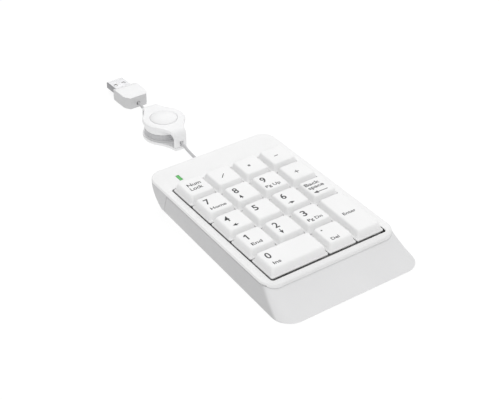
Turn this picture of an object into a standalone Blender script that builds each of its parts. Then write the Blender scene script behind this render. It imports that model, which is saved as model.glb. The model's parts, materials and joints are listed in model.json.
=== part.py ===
"""Numeric keypad with a retractable cable reel and a plug.

Metres, +Z up.  The pad stands on z = 0 with its rear towards +Y; the origin is
the middle of the pad's footprint.  The key field lies in a plane that rises
towards the rear; pieces of the key field are placed in that plane's own
coordinates (a to the right, b to the rear, w up out of the frame's surface)
by parenting them to the empty "key_plane".
"""

import math

import bmesh
import bpy
from mathutils import Matrix, Vector

MM = 0.001

# ------------------------------------------------------------ driving dimensions (mm)
PITCH = 19.05
COLS, ROWS = 4, 5
FIELD_A, FIELD_B = COLS * PITCH / 2, ROWS * PITCH / 2

TILT = math.radians(2.32)  # rise of the key plane towards the rear
PLANE_Z = 16.64  # height of the frame's surface at the middle of the key field
PLANE_Y = 1.2  # the key field's middle is this far behind the footprint's middle

# Frame outline, in the key plane
FRAME_FRONT, FRAME_REAR = -51.95, 68.655
FRAME_HALF_FRONT, FRAME_HALF_REAR = 44.0, 42.92
FRAME_R_FRONT, FRAME_R_REAR = 8.2, 9.15
LIP_START = -48.8  # in front of this the frame bends down
LIP_SLOPE = math.tan(math.radians(20))

# Footprint outline, on the desk
BASE_FRONT, BASE_REAR = -69.85, 65.3
BASE_HALF_FRONT, BASE_HALF_REAR = 47.5, 40.22
BASE_R_FRONT, BASE_R_REAR = 10.99, 8.6

CASE_BOTTOM = 1.0  # height of the case above the desk, on its feet
FLOOR_TOP = 2.6
WALL = 2.1
RIM_DEPTH = 1.7  # depth of the top case's rim below the frame's surface
PART_GAP = 0.3  # gap along the parting line
SPLIT_Y_LOW, SPLIT_Z_LOW = 54.1, 0.4  # the slanting joint between skirt and rear end
SPLIT_Y_HIGH, SPLIT_Z_HIGH = 46.9, 16.9

WELL_MARGIN, WELL_MARGIN_FRONT = 0.5, 1.15
WELL_FLOOR, WELL_FLOOR_UNDER = -4.2, -5.4
WELL_WALL = 1.3
WELL_WALL_FRONT = 0.7

# Keys
KEY_TOP, KEY_SKIRT = 4.9, -0.45
KEY_BASE_INSET = 0.3
KEY_TOP_INSET = (1.75, 1.75, 2.0, 1.55)  # left, right, front, rear, at the top edge
KEY_TOP_ROUND = 0.8
# the sides are hollow: height above the frame, share of the way in from the base to the top edge
KEY_SIDE = ((-0.45, 0.0), (0.2, 0.0), (0.6, 0.45), (1.1, 0.62), (2.3, 0.78))
KEY_WALL = 1.15
KEY_TRAVEL = 3.0
STEM_HALF, STEM_GUIDE_HALF = 2.5, 2.68
STEM_END = -6.2

# Under the keys
DOME_TOP, SHEET_TOP, SHEET_UNDER = -6.5, -9.8, -10.25
MEMBRANES = {"membrane_upper": -10.40, "membrane_spacer": -10.66, "membrane_lower": -10.92}
MEMBRANE_THICK = 0.14
DECK_TOP, DECK_UNDER = -11.2, -12.4
CASE_SCREWS = [(-PITCH, -28.575), (PITCH, -28.575), (-PITCH, 28.575), (PITCH, 28.575)]

# Stabiliser wires
WIRE_R, WIRE_ARM, WIRE_PIN_W = 0.4, 8.0, -2.1
WIRE_RISE = KEY_TRAVEL / 2

# Controller bay
PCB_TOP, PCB_THICK = -11.25, 1.2
LED_A, LED_B = -28.3, 55.7
CLAMP_SCREWS = [(-15.0, 53.7), (11.0, 53.7)]

# Cable outlet
OUTLET_X, OUTLET_Z = 4.0, 6.0
OUTLET_FACE = 68.6
RELIEF_END = 78.0
CORD_R = 1.2

# Cable reel
REEL_X, REEL_Y, REEL_TURN = 6.3, 129.2, math.radians(-3.0)
REEL_R, REEL_HALF, REEL_NOSE = 13.6, 21.5, 4.05
REEL_PLATE = 1.8
REEL_TOP_UNDER, REEL_TOP = 10.8, 12.4
REEL_CAP_R = 8.6

# Plug
PLUG_X, PLUG_REAR, PLUG_FRONT, PLUG_TIP = 11.2, 168.6, 187.6, 199.6
PLUG_HALF, PLUG_H = 8.55, 8.3
SHELL_W, SHELL_H, SHELL_WALL = 12.0, 4.5, 0.3
SHELL_Z = 4.15

KEYS = [
    # name, column, row from the front, columns, rows
    ("key_0", 0, 0, 2, 1),
    ("key_decimal", 2, 0, 1, 1),
    ("key_enter", 3, 0, 1, 2),
    ("key_1", 0, 1, 1, 1),
    ("key_2", 1, 1, 1, 1),
    ("key_3", 2, 1, 1, 1),
    ("key_4", 0, 2, 1, 1),
    ("key_5", 1, 2, 1, 1),
    ("key_6", 2, 2, 1, 1),
    ("key_backspace", 3, 2, 1, 1),
    ("key_7", 0, 3, 1, 1),
    ("key_8", 1, 3, 1, 1),
    ("key_9", 2, 3, 1, 1),
    ("key_plus", 3, 3, 1, 1),
    ("key_num_lock", 0, 4, 1, 1),
    ("key_divide", 1, 4, 1, 1),
    ("key_multiply", 2, 4, 1, 1),
    ("key_minus", 3, 4, 1, 1),
]

# ------------------------------------------------------------ scene and helpers
for item in list(bpy.data.objects):
    bpy.data.objects.remove(item, do_unlink=True)

PARTS = bpy.data.collections.new("numeric_keypad")
CUTTERS = bpy.data.collections.new("cutters")
for group in (PARTS, CUTTERS):
    bpy.context.scene.collection.children.link(group)


def material(name, rgb, roughness, metallic=0.0):
    made = bpy.data.materials.new(name)
    made.use_nodes = True
    shader = made.node_tree.nodes["Principled BSDF"]
    shader.inputs["Base Color"].default_value = (*rgb, 1.0)
    shader.inputs["Roughness"].default_value = roughness
    shader.inputs["Metallic"].default_value = metallic
    made.diffuse_color = (*rgb, 1.0)
    return made


WHITE = material("white_plastic", (0.86, 0.86, 0.86), 0.42)
SKIRT = material("skirt_plastic", (0.80, 0.80, 0.81), 0.5)
KEYCAP = material("keycap_plastic", (0.87, 0.87, 0.87), 0.5)
RUBBER = material("silicone_rubber", (0.78, 0.79, 0.80), 0.6)
FOOT = material("foot_rubber", (0.10, 0.10, 0.11), 0.8)
FILM = material("membrane_film", (0.62, 0.68, 0.72), 0.3)
BOARD = material("circuit_board", (0.06, 0.26, 0.12), 0.45)
EPOXY = material("black_epoxy", (0.02, 0.02, 0.02), 0.35)
STEEL = material("steel", (0.60, 0.60, 0.62), 0.3, 1.0)
GREEN = material("green_lens", (0.05, 0.62, 0.09), 0.2)
CORD = material("cord_jacket", (0.76, 0.76, 0.77), 0.5)
REEL = material("reel_plastic", (0.85, 0.85, 0.86), 0.4)
SPOOL = material("spool_plastic", (0.62, 0.62, 0.64), 0.5)
TONGUE = material("plug_tongue", (0.85, 0.85, 0.84), 0.5)
GOLD = material("contact_gold", (0.80, 0.58, 0.24), 0.25, 1.0)


def new_object(name, mesh, paint=None, parent=None, at=(0, 0, 0), cutter=False):
    made = bpy.data.objects.new(name, mesh)
    (CUTTERS if cutter else PARTS).objects.link(made)
    if cutter:
        made.hide_render = True
        made.display_type = "WIRE"
    if paint is not None and not made.data.materials:
        made.data.materials.append(paint)
    made.parent = parent
    made.location = Vector(at) * MM
    return made


def new_mesh(name, bm, smooth=False):
    bmesh.ops.recalc_face_normals(bm, faces=bm.faces)
    mesh = bpy.data.meshes.new(name)
    bm.to_mesh(mesh)
    bm.free()
    if smooth:
        mesh.shade_smooth()
        mesh.set_sharp_from_angle(angle=math.radians(35))
    return mesh


def add_box(bm, low, high):
    size = [h - l for l, h in zip(low, high)]
    middle = [(h + l) / 2 for l, h in zip(low, high)]
    matrix = Matrix.Translation(Vector(middle) * MM) @ Matrix.Diagonal(
        (size[0] * MM, size[1] * MM, size[2] * MM, 1)
    )
    bmesh.ops.create_cube(bm, size=1.0, matrix=matrix)


def add_cylinder(bm, at, axis, low, high, radius, segments=16, top_radius=None):
    """A cylinder about a line through at along X, Y or Z, from low to high on that axis."""
    turn = {
        "Z": Matrix.Identity(4),
        "Y": Matrix.Rotation(-math.pi / 2, 4, "X"),
        "X": Matrix.Rotation(math.pi / 2, 4, "Y"),
    }[axis]
    place = list(at)
    place["XYZ".index(axis)] = (low + high) / 2
    bmesh.ops.create_cone(
        bm,
        cap_ends=True,
        segments=segments,
        radius1=radius * MM,
        radius2=(radius if top_radius is None else top_radius) * MM,
        depth=(high - low) * MM,
        matrix=Matrix.Translation(Vector(place) * MM) @ turn,
    )


def add_turned(bm, at, profile, segments):
    """A closed shape of revolution about a vertical line; the profile runs from the bottom up."""
    rings = [
        [
            bm.verts.new(
                Vector((at[0] + r * math.cos(2 * math.pi * i / segments), at[1] + r * math.sin(2 * math.pi * i / segments), h)) * MM
            )
            for i in range(segments)
        ]
        for r, h in profile
    ]
    for low, high in zip(rings, rings[1:]):
        for i in range(segments):
            j = (i + 1) % segments
            bm.faces.new((low[i], low[j], high[j], high[i]))
    bm.faces.new(rings[0][::-1])
    bm.faces.new(rings[-1])


def box(name, low, high, paint=None, parent=None, at=(0, 0, 0), cutter=False):
    bm = bmesh.new()
    add_box(bm, low, high)
    return new_object(name, new_mesh(name, bm), paint, parent, at, cutter)


def prism(name, outline, low, high, paint=None, parent=None, at=(0, 0, 0), cutter=False):
    """A flat outline (mm) extruded from height low to height high."""
    bm = bmesh.new()
    face = bm.faces.new([bm.verts.new(Vector((x, y, low)) * MM) for x, y in outline])
    grown = bmesh.ops.extrude_face_region(bm, geom=[face])
    lifted = [v for v in grown["geom"] if isinstance(v, bmesh.types.BMVert)]
    bmesh.ops.translate(bm, vec=Vector((0, 0, high - low)) * MM, verts=lifted)
    return new_object(name, new_mesh(name, bm), paint, parent, at, cutter)


def side_prism(name, outline, x_low, x_high, cutter=True):
    """An outline in the Y-Z plane (mm) extruded along X."""
    bm = bmesh.new()
    face = bm.faces.new([bm.verts.new(Vector((x_low, y, z)) * MM) for y, z in outline])
    grown = bmesh.ops.extrude_face_region(bm, geom=[face])
    lifted = [v for v in grown["geom"] if isinstance(v, bmesh.types.BMVert)]
    bmesh.ops.translate(bm, vec=Vector((x_high - x_low, 0, 0)) * MM, verts=lifted)
    return new_object(name, new_mesh(name, bm), cutter=cutter)


def turned(name, profile, paint=None, parent=None, at=(0, 0, 0), steps=24, axis="Z", cutter=False):
    """A profile of (radius, height) points, from the top down the outer side, turned about the axis."""
    bm = bmesh.new()
    points = [bm.verts.new(Vector((r, 0, h)) * MM) for r, h in profile]
    closed = profile[0][0] > 0 and profile[-1][0] > 0
    for first, second in zip(points, points[1:] + ([points[0]] if closed else [])):
        bm.edges.new((first, second))
    mesh = bpy.data.meshes.new(name)
    bm.to_mesh(mesh)
    bm.free()
    made = new_object(name, mesh, paint, parent, at, cutter)
    screw = made.modifiers.new("turn", "SCREW")
    screw.steps = screw.render_steps = steps
    screw.use_merge_vertices = True
    screw.merge_threshold = 0.00001
    screw.use_smooth_shade = True
    if axis == "Y":
        made.rotation_euler = (-math.pi / 2, 0, 0)
    return made


def loft(name, rings, paint=None, cutter=False):
    """A closed skin through rings of equally many points (metres), lowest ring first."""
    bm = bmesh.new()
    rows = [[bm.verts.new(p) for p in ring] for ring in rings]
    count = len(rows[0])
    for low, high in zip(rows, rows[1:]):
        for i in range(count):
            j = (i + 1) % count
            bm.faces.new((low[i], low[j], high[j], high[i]))
    bm.faces.new(rows[0][::-1])
    bm.faces.new(rows[-1])
    return new_object(name, new_mesh(name, bm), paint, cutter=cutter)


def boolean(target, other, operation="DIFFERENCE"):
    modifier = target.modifiers.new(operation.lower(), "BOOLEAN")
    modifier.operation = operation
    modifier.solver = "EXACT"
    modifier.object = other


def tube(name, points, radius, paint, parent=None, at=(0, 0, 0), resolution=2):
    """A wire or cord along points (mm)."""
    curve = bpy.data.curves.new(name, "CURVE")
    curve.dimensions = "3D"
    curve.bevel_depth = radius * MM
    curve.bevel_resolution = resolution
    curve.use_fill_caps = True
    spline = curve.splines.new("POLY")
    spline.points.add(len(points) - 1)
    for point, place in zip(spline.points, points):
        point.co = (*(Vector(place) * MM), 1.0)
    return new_object(name, curve, paint, parent, at)


def smooth_route(knots, count):
    """Evenly spaced points on a Catmull-Rom curve through the knots."""
    ends = [2 * Vector(knots[0]) - Vector(knots[1])] + [Vector(k) for k in knots]
    ends.append(2 * ends[-1] - ends[-2])
    fine = []
    for k in range(len(knots) - 1):
        p0, p1, p2, p3 = ends[k : k + 4]
        for step in range(24):
            t = step / 24
            fine.append(
                0.5
                * (
                    2 * p1
                    + (p2 - p0) * t
                    + (2 * p0 - 5 * p1 + 4 * p2 - p3) * t * t
                    + (3 * p1 - p0 - 3 * p2 + p3) * t**3
                )
            )
    fine.append(ends[-2])
    along = [0.0]
    for first, second in zip(fine, fine[1:]):
        along.append(along[-1] + (second - first).length)
    made, k = [], 0
    for i in range(count):
        goal = along[-1] * i / (count - 1)
        while k < len(fine) - 2 and along[k + 1] < goal:
            k += 1
        share = (goal - along[k]) / (along[k + 1] - along[k])
        made.append(tuple(fine[k].lerp(fine[k + 1], share)))
    return made


def plane_point(a, b, w):
    """A point given in the key plane's coordinates (mm), in metres."""
    return (
        Vector(
            (
                a,
                b * math.cos(TILT) - w * math.sin(TILT) + PLANE_Y,
                PLANE_Z + b * math.sin(TILT) + w * math.cos(TILT),
            )
        )
        * MM
    )


def plane_line(b_low, b_high, w):
    """(y, z) ends (mm) of a line in the key plane at depth w."""
    return [tuple(plane_point(0, b, w)[1:]) for b in (b_low, b_high)]


key_plane = bpy.data.objects.new("key_plane", None)
PARTS.objects.link(key_plane)
key_plane.location = plane_point(0, 0, 0)
key_plane.rotation_euler = (TILT, 0, 0)


# ------------------------------------------------------------ case outlines
def rounded_quad(front, rear, half_front, half_rear, radii, inset, seg=5, subs=(4, 8, 4, 8)):
    """Points round a tapered rectangle with round corners, and how far to the rear each lies (0 to 1)."""
    slope = (half_rear - half_front) / (rear - front)
    length = math.hypot(1, slope)
    y0, y1 = front + inset, rear - inset
    h0 = half_front + slope * (y0 - front) - inset * length
    h1 = half_front + slope * (y1 - front) - inset * length
    corners = [(-h0, y0), (h0, y0), (h1, y1), (-h1, y1)]
    radii = [max(r - inset, 0.6) for r in radii]
    arcs = []
    for k in range(4):
        here, before, after = (Vector(corners[i % 4]) for i in (k, k - 1, k + 1))
        back, on = (before - here).normalized(), (after - here).normalized()
        angle = back.angle(on)
        reach = radii[k] / math.tan(angle / 2)
        centre = here + (back + on).normalized() * (radii[k] / math.sin(angle / 2))
        start, end = here + back * reach - centre, here + on * reach - centre
        a0 = math.atan2(start.y, start.x)
        a1 = math.atan2(end.y, end.x)
        while a1 < a0:
            a1 += 2 * math.pi
        arcs.append(
            [
                centre
                + radii[k]
                * Vector(
                    (math.cos(a0 + (a1 - a0) * i / seg), math.sin(a0 + (a1 - a0) * i / seg))
                )
                for i in range(seg + 1)
            ]
        )
    rearness = [0.0, 0.0, 1.0, 1.0]
    points, share = [], []
    for k in range(4):
        nxt = (k + 1) % 4
        for p in arcs[k]:
            points.append(p)
            share.append(rearness[k])
        for i in range(1, subs[k]):
            t = i / subs[k]
            points.append(arcs[k][-1].lerp(arcs[nxt][0], t))
            share.append(rearness[k] * (1 - t) + rearness[nxt] * t)
    return points, share


def base_ring(z, inset):
    points, _ = rounded_quad(
        BASE_FRONT, BASE_REAR, BASE_HALF_FRONT, BASE_HALF_REAR,
        (BASE_R_FRONT, BASE_R_FRONT, BASE_R_REAR, BASE_R_REAR), inset,
    )
    return [Vector((p.x, p.y, z)) * MM for p in points]


def frame_ring(w, inset):
    points, _ = rounded_quad(
        FRAME_FRONT, FRAME_REAR, FRAME_HALF_FRONT, FRAME_HALF_REAR, (FRAME_R_FRONT, FRAME_R_FRONT, FRAME_R_REAR, FRAME_R_REAR), inset
    )
    return [plane_point(p.x, p.y, w - lip_drop(p.y)) for p in points]


def lip_drop(b):
    """How far the frame has bent down at b, with a short curve where the bend starts."""
    reach = LIP_START - b
    if reach <= -0.6:
        return 0.0
    if reach < 0.6:
        return LIP_SLOPE * (reach + 0.6) ** 2 / 2.4
    return LIP_SLOPE * reach


def flare(t, rearness):
    """How far the wall has come in at a share t of its height: hollow in front, upright behind."""
    front = t + 0.20 * t * (1 - t) * 1.6
    rear = t + 0.9 * t * (1 - t)
    return front + (rear - front) * rearness


def wall_rings(low_z, high_w, inset, steps):
    _, share = rounded_quad(
        FRAME_FRONT, FRAME_REAR, FRAME_HALF_FRONT, FRAME_HALF_REAR, (FRAME_R_FRONT, FRAME_R_FRONT, FRAME_R_REAR, FRAME_R_REAR), inset
    )
    low, high = base_ring(low_z, inset), frame_ring(high_w, inset)
    rings = []
    for t in steps:
        ring = []
        for p, q, s in zip(low, high, share):
            g = flare(t, s)
            ring.append(Vector((p.x + (q.x - p.x) * g, p.y + (q.y - p.y) * g, p.z + (q.z - p.z) * t)))
        rings.append(ring)
    return rings


WALL_LOW = 2.0
STEPS = (0, 0.2, 0.4, 0.6, 0.8, 1.0)


def case_skin(name):
    rings = [base_ring(CASE_BOTTOM, 1.1), base_ring(CASE_BOTTOM + 0.3, 0.35)]
    rings += wall_rings(WALL_LOW, -1.6, 0.0, STEPS)
    rings += [frame_ring(-0.75, 0.0), frame_ring(-0.25, 0.18), frame_ring(0.0, 0.7)]
    return loft(name, rings)


def case_cavity(name, low_z, high_w, extra_top=None):
    rings = []
    if low_z < WALL_LOW:
        rings.append(base_ring(low_z, WALL))
    rings += wall_rings(max(low_z, WALL_LOW), -1.6, WALL, STEPS)
    if extra_top is not None:
        rings.append(frame_ring(extra_top, WALL))
    else:
        rings[-1] = frame_ring(high_w, WALL)
    return loft(name, rings, cutter=True)


def split_y(z, offset):
    share = (z - SPLIT_Z_LOW) / (SPLIT_Z_HIGH - SPLIT_Z_LOW)
    return SPLIT_Y_LOW + (SPLIT_Y_HIGH - SPLIT_Y_LOW) * share + offset


def mm_pair(b, w):
    p = plane_point(0, b, w) / MM
    return (p.y, p.z)


def parting(name, w, offset, below):
    """The space below and ahead of the parting surface, or the rest."""
    fall = LIP_SLOPE * 31.2
    front, bend = mm_pair(LIP_START - 31.2, w - fall), mm_pair(LIP_START, w)
    # where the line at depth w meets the slanting joint
    b = 45.0
    for _ in range(40):
        y, z = mm_pair(b, w)
        b += split_y(z, offset) - y
    meet = mm_pair(b, w)
    low = (split_y(-12, offset), -12)
    if below:
        outline = [front, bend, meet, low, (front[0], -12)]
    else:
        outline = [front, (front[0], 60), (120, 60), (120, -12), low, meet, bend]
    return side_prism(name, outline, -80, 80)


# ------------------------------------------------------------ top case
top_case = case_skin("top_case")
top_case.data.materials.append(WHITE)
boolean(top_case, case_cavity("top_cavity", -1.0, -1.8))
boolean(top_case, parting("cut_below_parting", -RIM_DEPTH, 0.15, True))

well_a, well_b, well_front = FIELD_A + WELL_MARGIN, FIELD_B + WELL_MARGIN, FIELD_B + WELL_MARGIN_FRONT
tub_outline, _ = rounded_quad(
    -well_front - WELL_WALL_FRONT, well_b + WELL_WALL, well_a + WELL_WALL, well_a + WELL_WALL, (3.6,) * 4, 0.0, seg=3, subs=(1, 1, 1, 1)
)
tub = prism("well_tub", tub_outline, WELL_FLOOR_UNDER, -1.0, parent=key_plane, cutter=True)
boolean(top_case, tub, "UNION")
opening, _ = rounded_quad(-well_front, well_b, well_a, well_a, (1.6,) * 4, 0.0, seg=3, subs=(1, 1, 1, 1))
boolean(top_case, prism("well_opening", opening, WELL_FLOOR, 3.0, parent=key_plane, cutter=True))


def key_centre(column, row, columns, rows):
    return (
        -FIELD_A + (column + columns / 2) * PITCH,
        -FIELD_B + (row + rows / 2) * PITCH,
    )


CENTRES = {name: key_centre(*cell) for name, *cell in KEYS}

bm = bmesh.new()
for a, b in CENTRES.values():
    outer = STEM_GUIDE_HALF + 0.9
    add_box(bm, (a - outer, b - outer, -6.0), (a + outer, b + outer, -4.9))
for a, b in CASE_SCREWS:
    add_cylinder(bm, (a, b, 0), "Z", -11.0, -5.0, 2.5, 14)
guides = new_object("stem_guides_and_bosses", new_mesh("guides", bm), parent=key_plane, cutter=True)
boolean(top_case, guides, "UNION")

bm = bmesh.new()
for a, b in CENTRES.values():
    add_box(bm, (a - STEM_GUIDE_HALF, b - STEM_GUIDE_HALF, -7), (a + STEM_GUIDE_HALF, b + STEM_GUIDE_HALF, -3))
for a, b in CASE_SCREWS:
    add_cylinder(bm, (a, b, 0), "Z", -12.0, -6.6, 1.4, 12)
add_box(bm, (LED_A - 1.15, LED_B - 2.75, -3), (LED_A + 1.15, LED_B + 2.75, 1))
holes = new_object("guide_holes", new_mesh("holes", bm), parent=key_plane, cutter=True)
boolean(top_case, holes)

# posts on the well floor that hold the stabiliser wires' pins
WIRE_SETS = {"key_0": "Z0", "key_enter": "Z90"}


def wire_frame(name):
    """The stabiliser's own axes: its bar runs along s, its arms along t."""
    a, b = CENTRES[name]
    if name == "key_0":
        return lambda s, t, w: (a + s, b + t, w)
    return lambda s, t, w: (a + t, b + s, w)


BAR_T, PIN_T, BAR_S = -4.9, 3.1, 12.0

bm, notch = bmesh.new(), bmesh.new()
for name in WIRE_SETS:
    at = wire_frame(name)
    for side in (-1, 1):
        s0, s1 = sorted((side * (BAR_S + 0.9), side * (BAR_S + 2.1)))
        p, q = at(s0, PIN_T - 1.5, WELL_FLOOR - 0.4), at(s1, PIN_T + 1.5, -1.0)
        add_box(bm, [min(x) for x in zip(p, q)], [max(x) for x in zip(p, q)])
        p, q = at(s0 - 0.5, PIN_T - 0.6, WIRE_PIN_W - 0.6), at(s1 + 0.5, PIN_T + 0.6, 0)
        add_box(notch, [min(x) for x in zip(p, q)], [max(x) for x in zip(p, q)])
boolean(top_case, new_object("wire_posts", new_mesh("posts", bm), parent=key_plane, cutter=True), "UNION")
boolean(top_case, new_object("wire_notches", new_mesh("notches", notch), parent=key_plane, cutter=True))

# flat pad and hole for the cable outlet
bm = bmesh.new()
add_cylinder(bm, (OUTLET_X, 0, OUTLET_Z), "Y", 63.6, OUTLET_FACE, 3.9, 20)
boolean(top_case, new_object("outlet_pad", new_mesh("pad", bm), cutter=True), "UNION")
bm = bmesh.new()
add_cylinder(bm, (OUTLET_X, 0, OUTLET_Z), "Y", 60.0, 72.0, 2.3, 20)
boolean(top_case, new_object("outlet_hole", new_mesh("outlet", bm), cutter=True))

# ------------------------------------------------------------ bottom case
bottom_case = case_skin("bottom_case")
bottom_case.data.materials.append(SKIRT)
boolean(bottom_case, parting("cut_above_parting", -RIM_DEPTH - PART_GAP, -0.15, False))
boolean(bottom_case, case_cavity("bottom_cavity", FLOOR_TOP, None, extra_top=2.0))

floor_plate = loft(
    "floor_plate",
    [base_ring(CASE_BOTTOM, WALL + 0.35), base_ring(FLOOR_TOP, WALL + 0.35)],
    cutter=True,
)
boolean(bottom_case, floor_plate, "UNION")
bm = bmesh.new()
add_box(bm, (-38.4, -49.4, DECK_UNDER), (38.4, 48.6, DECK_TOP))
boolean(bottom_case, new_object("deck", new_mesh("deck", bm), parent=key_plane, cutter=True), "UNION")
bm = bmesh.new()
for a, b in CASE_SCREWS:
    add_cylinder(bm, (a, b, 0), "Z", -14.0 if b < 0 else -16.2, -11.6, 4.2, 16)
for a, b in CLAMP_SCREWS:
    add_cylinder(bm, (a, b, 0), "Z", -17.1, PCB_TOP - PCB_THICK - 0.2, 2.4, 14)
boolean(bottom_case, new_object("columns", new_mesh("columns", bm), parent=key_plane, cutter=True), "UNION")
for x in (-35.0, 35.0):
    low_front, low_rear = -28.0, 47.0
    rib = side_prism(
        f"deck_rib_{'left' if x < 0 else 'right'}",
        [
            (low_front, 1.6), (low_rear, 1.6),
            (low_rear, mm_pair(low_rear, -11.9)[1]), (low_front, mm_pair(low_front, -11.9)[1]),
        ],
        x - 0.8, x + 0.8,
    )
    boolean(bottom_case, rib, "UNION")
bm = bmesh.new()
for a, b in CASE_SCREWS:
    add_cylinder(bm, (a, b, 0), "Z", -24.0, -12.85, 2.7, 16)
boolean(bottom_case, new_object("head_wells", new_mesh("head_wells", bm), parent=key_plane, cutter=True))
bm = bmesh.new()
for a, b in CASE_SCREWS:
    add_cylinder(bm, (a, b, 0), "Z", -13.6, -10.0, 1.5, 12)
for a, b in CLAMP_SCREWS:
    add_cylinder(bm, (a, b, 0), "Z", -15.6, -11.0, 1.1, 10)
boolean(bottom_case, new_object("screw_holes", new_mesh("screw_holes", bm), parent=key_plane, cutter=True))
FEET = {
    "foot_front_left": (-37.0, -57.5), "foot_front_right": (37.0, -57.5),
    "foot_rear_left": (-30.5, 55.0), "foot_rear_right": (30.5, 55.0),
}
bm = bmesh.new()
for x, y in FEET.values():
    add_cylinder(bm, (x, y, 0), "Z", -1.0, 1.9, 5.0, 20)
boolean(bottom_case, new_object("foot_recesses", new_mesh("recesses", bm), cutter=True))
for name, (x, y) in FEET.items():
    turned(name, [(0, 1.7), (4.7, 1.7), (4.7, 0.35), (4.3, 0.0), (0, 0.0)], FOOT, at=(x, y, 0), steps=20)

# ------------------------------------------------------------ keys
CORNER_SEG = 3


def key_ring(half_a, half_b, radius, w, shift=(0.0, 0.0)):
    points, _ = rounded_quad(-half_b, half_b, half_a, half_a, (radius,) * 4, 0.0, seg=CORNER_SEG, subs=(1, 1, 1, 1))
    return [Vector((p.x + shift[0], p.y + shift[1], w)) * MM for p in points]


def key_mesh(name, columns, rows):
    half_a = columns * PITCH / 2 - KEY_BASE_INSET
    half_b = rows * PITCH / 2 - KEY_BASE_INSET
    left, right, front, rear = (i - KEY_BASE_INSET for i in KEY_TOP_INSET)
    top_a, top_b = half_a - (left + right) / 2, half_b - (front + rear) / 2
    shift = ((left - right) / 2, (front - rear) / 2)
    bm = bmesh.new()
    inner_top = KEY_TOP - KEY_WALL

    def side_ring(w, share, wall=0.0):
        radius = 0.7 + 1.0 * share - (0.1 if wall else 0.0)
        return key_ring(
            half_a - (half_a - top_a) * share - wall,
            half_b - (half_b - top_b) * share - wall,
            radius, w, (shift[0] * share, shift[1] * share),
        )

    rings = [side_ring(w, share) for w, share in KEY_SIDE]
    rings += [
        key_ring(top_a, top_b, 1.7, KEY_TOP - KEY_TOP_ROUND, shift),
        key_ring(top_a - 0.22, top_b - 0.22, 1.6, KEY_TOP - 0.22, shift),
        key_ring(top_a - 0.75, top_b - 0.75, 1.3, KEY_TOP, shift),
    ]
    inside = [side_ring(KEY_SKIRT, 0.0, KEY_WALL), side_ring(1.3, 0.45, KEY_WALL), side_ring(inner_top, 1.0, KEY_WALL)]
    outer = [[bm.verts.new(p) for p in ring] for ring in rings]
    inner = [[bm.verts.new(p) for p in ring] for ring in inside]
    count = len(outer[0])
    for rows_of, turn_over in ((outer, False), (inner, True)):
        for low, high in zip(rows_of, rows_of[1:]):
            for i in range(count):
                j = (i + 1) % count
                quad = (low[i], low[j], high[j], high[i])
                bm.faces.new(quad[::-1] if turn_over else quad)
    for i in range(count):
        j = (i + 1) % count
        bm.faces.new((inner[0][i], inner[0][j], outer[0][j], outer[0][i]))
    bm.faces.new(outer[-1])
    bm.faces.new(inner[-1][::-1])
    return new_mesh(name, bm)


key_objects = {}
unit_mesh = None
for name, column, row, columns, rows in KEYS:
    a, b = CENTRES[name]
    if (columns, rows) == (1, 1):
        unit_mesh = unit_mesh or key_mesh("keycap_unit", 1, 1)
        mesh = unit_mesh
    else:
        mesh = key_mesh("keycap_" + name, columns, rows)
    key_objects[name] = new_object(name, mesh, KEYCAP, key_plane, (a, b, 0))

bm = bmesh.new()
add_box(bm, (-STEM_HALF, -STEM_HALF, STEM_END), (STEM_HALF, STEM_HALF, KEY_TOP - 0.6))
stem_mesh = new_mesh("stem", bm)
for name, made in key_objects.items():
    a, b = CENTRES[name]
    stem = new_object("stem_of_" + name, stem_mesh, parent=key_plane, at=(a, b, 0), cutter=True)
    boolean(made, stem, "UNION")

# clips inside the wide and the tall key, one fin on each side of the wire's bar
for name in WIRE_SETS:
    a, b = CENTRES[name]
    at = wire_frame(name)
    bm = bmesh.new()
    for side in (-1, 1):
        for edge in (-1, 1):
            s0, s1 = sorted((side * 6.6, side * 9.6))
            t0, t1 = sorted((BAR_T + edge * 0.7, BAR_T + edge * 1.5))
            p, q = at(s0, t0, -1.0), at(s1, t1, KEY_TOP - 0.6)
            low = [min(x) for x in zip(p, q)]
            high = [max(x) for x in zip(p, q)]
            add_box(bm, (low[0] - a, low[1] - b, low[2]), (high[0] - a, high[1] - b, high[2]))
    clips = new_object("clips_of_" + name, new_mesh("clips", bm), parent=key_plane, at=(a, b, 0), cutter=True)
    boolean(key_objects[name], clips, "UNION")

# ------------------------------------------------------------ stabiliser wires
WIRE_DROP = math.sqrt(WIRE_ARM**2 - WIRE_RISE**2)
for name, wire in (("key_0", "stabiliser_wire_0"), ("key_enter", "stabiliser_wire_enter")):
    at = wire_frame(name)
    origin = at(0, PIN_T, WIRE_PIN_W)
    route = [(side, t, w) for side, t, w in (
        (-BAR_S - 1.9, PIN_T, WIRE_PIN_W), (-BAR_S, PIN_T, WIRE_PIN_W),
        (-BAR_S, PIN_T - WIRE_DROP, WIRE_PIN_W + WIRE_RISE),
        (BAR_S, PIN_T - WIRE_DROP, WIRE_PIN_W + WIRE_RISE),
        (BAR_S, PIN_T, WIRE_PIN_W), (BAR_S + 1.9, PIN_T, WIRE_PIN_W),
    )]
    # round each bend
    rounded = []
    for i, here in enumerate(route):
        p = Vector(here)
        if i in (0, len(route) - 1):
            rounded.append(p)
            continue
        back = (Vector(route[i - 1]) - p).normalized()
        on = (Vector(route[i + 1]) - p).normalized()
        for step in range(4):
            t = step / 3
            rounded.append(p + back * 0.9 * (1 - t) ** 2 + on * 0.9 * t**2)
    points = [Vector(at(*p)) - Vector(origin) for p in rounded]
    tube(wire, points, WIRE_R, STEEL, key_plane, origin, resolution=1)

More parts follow.
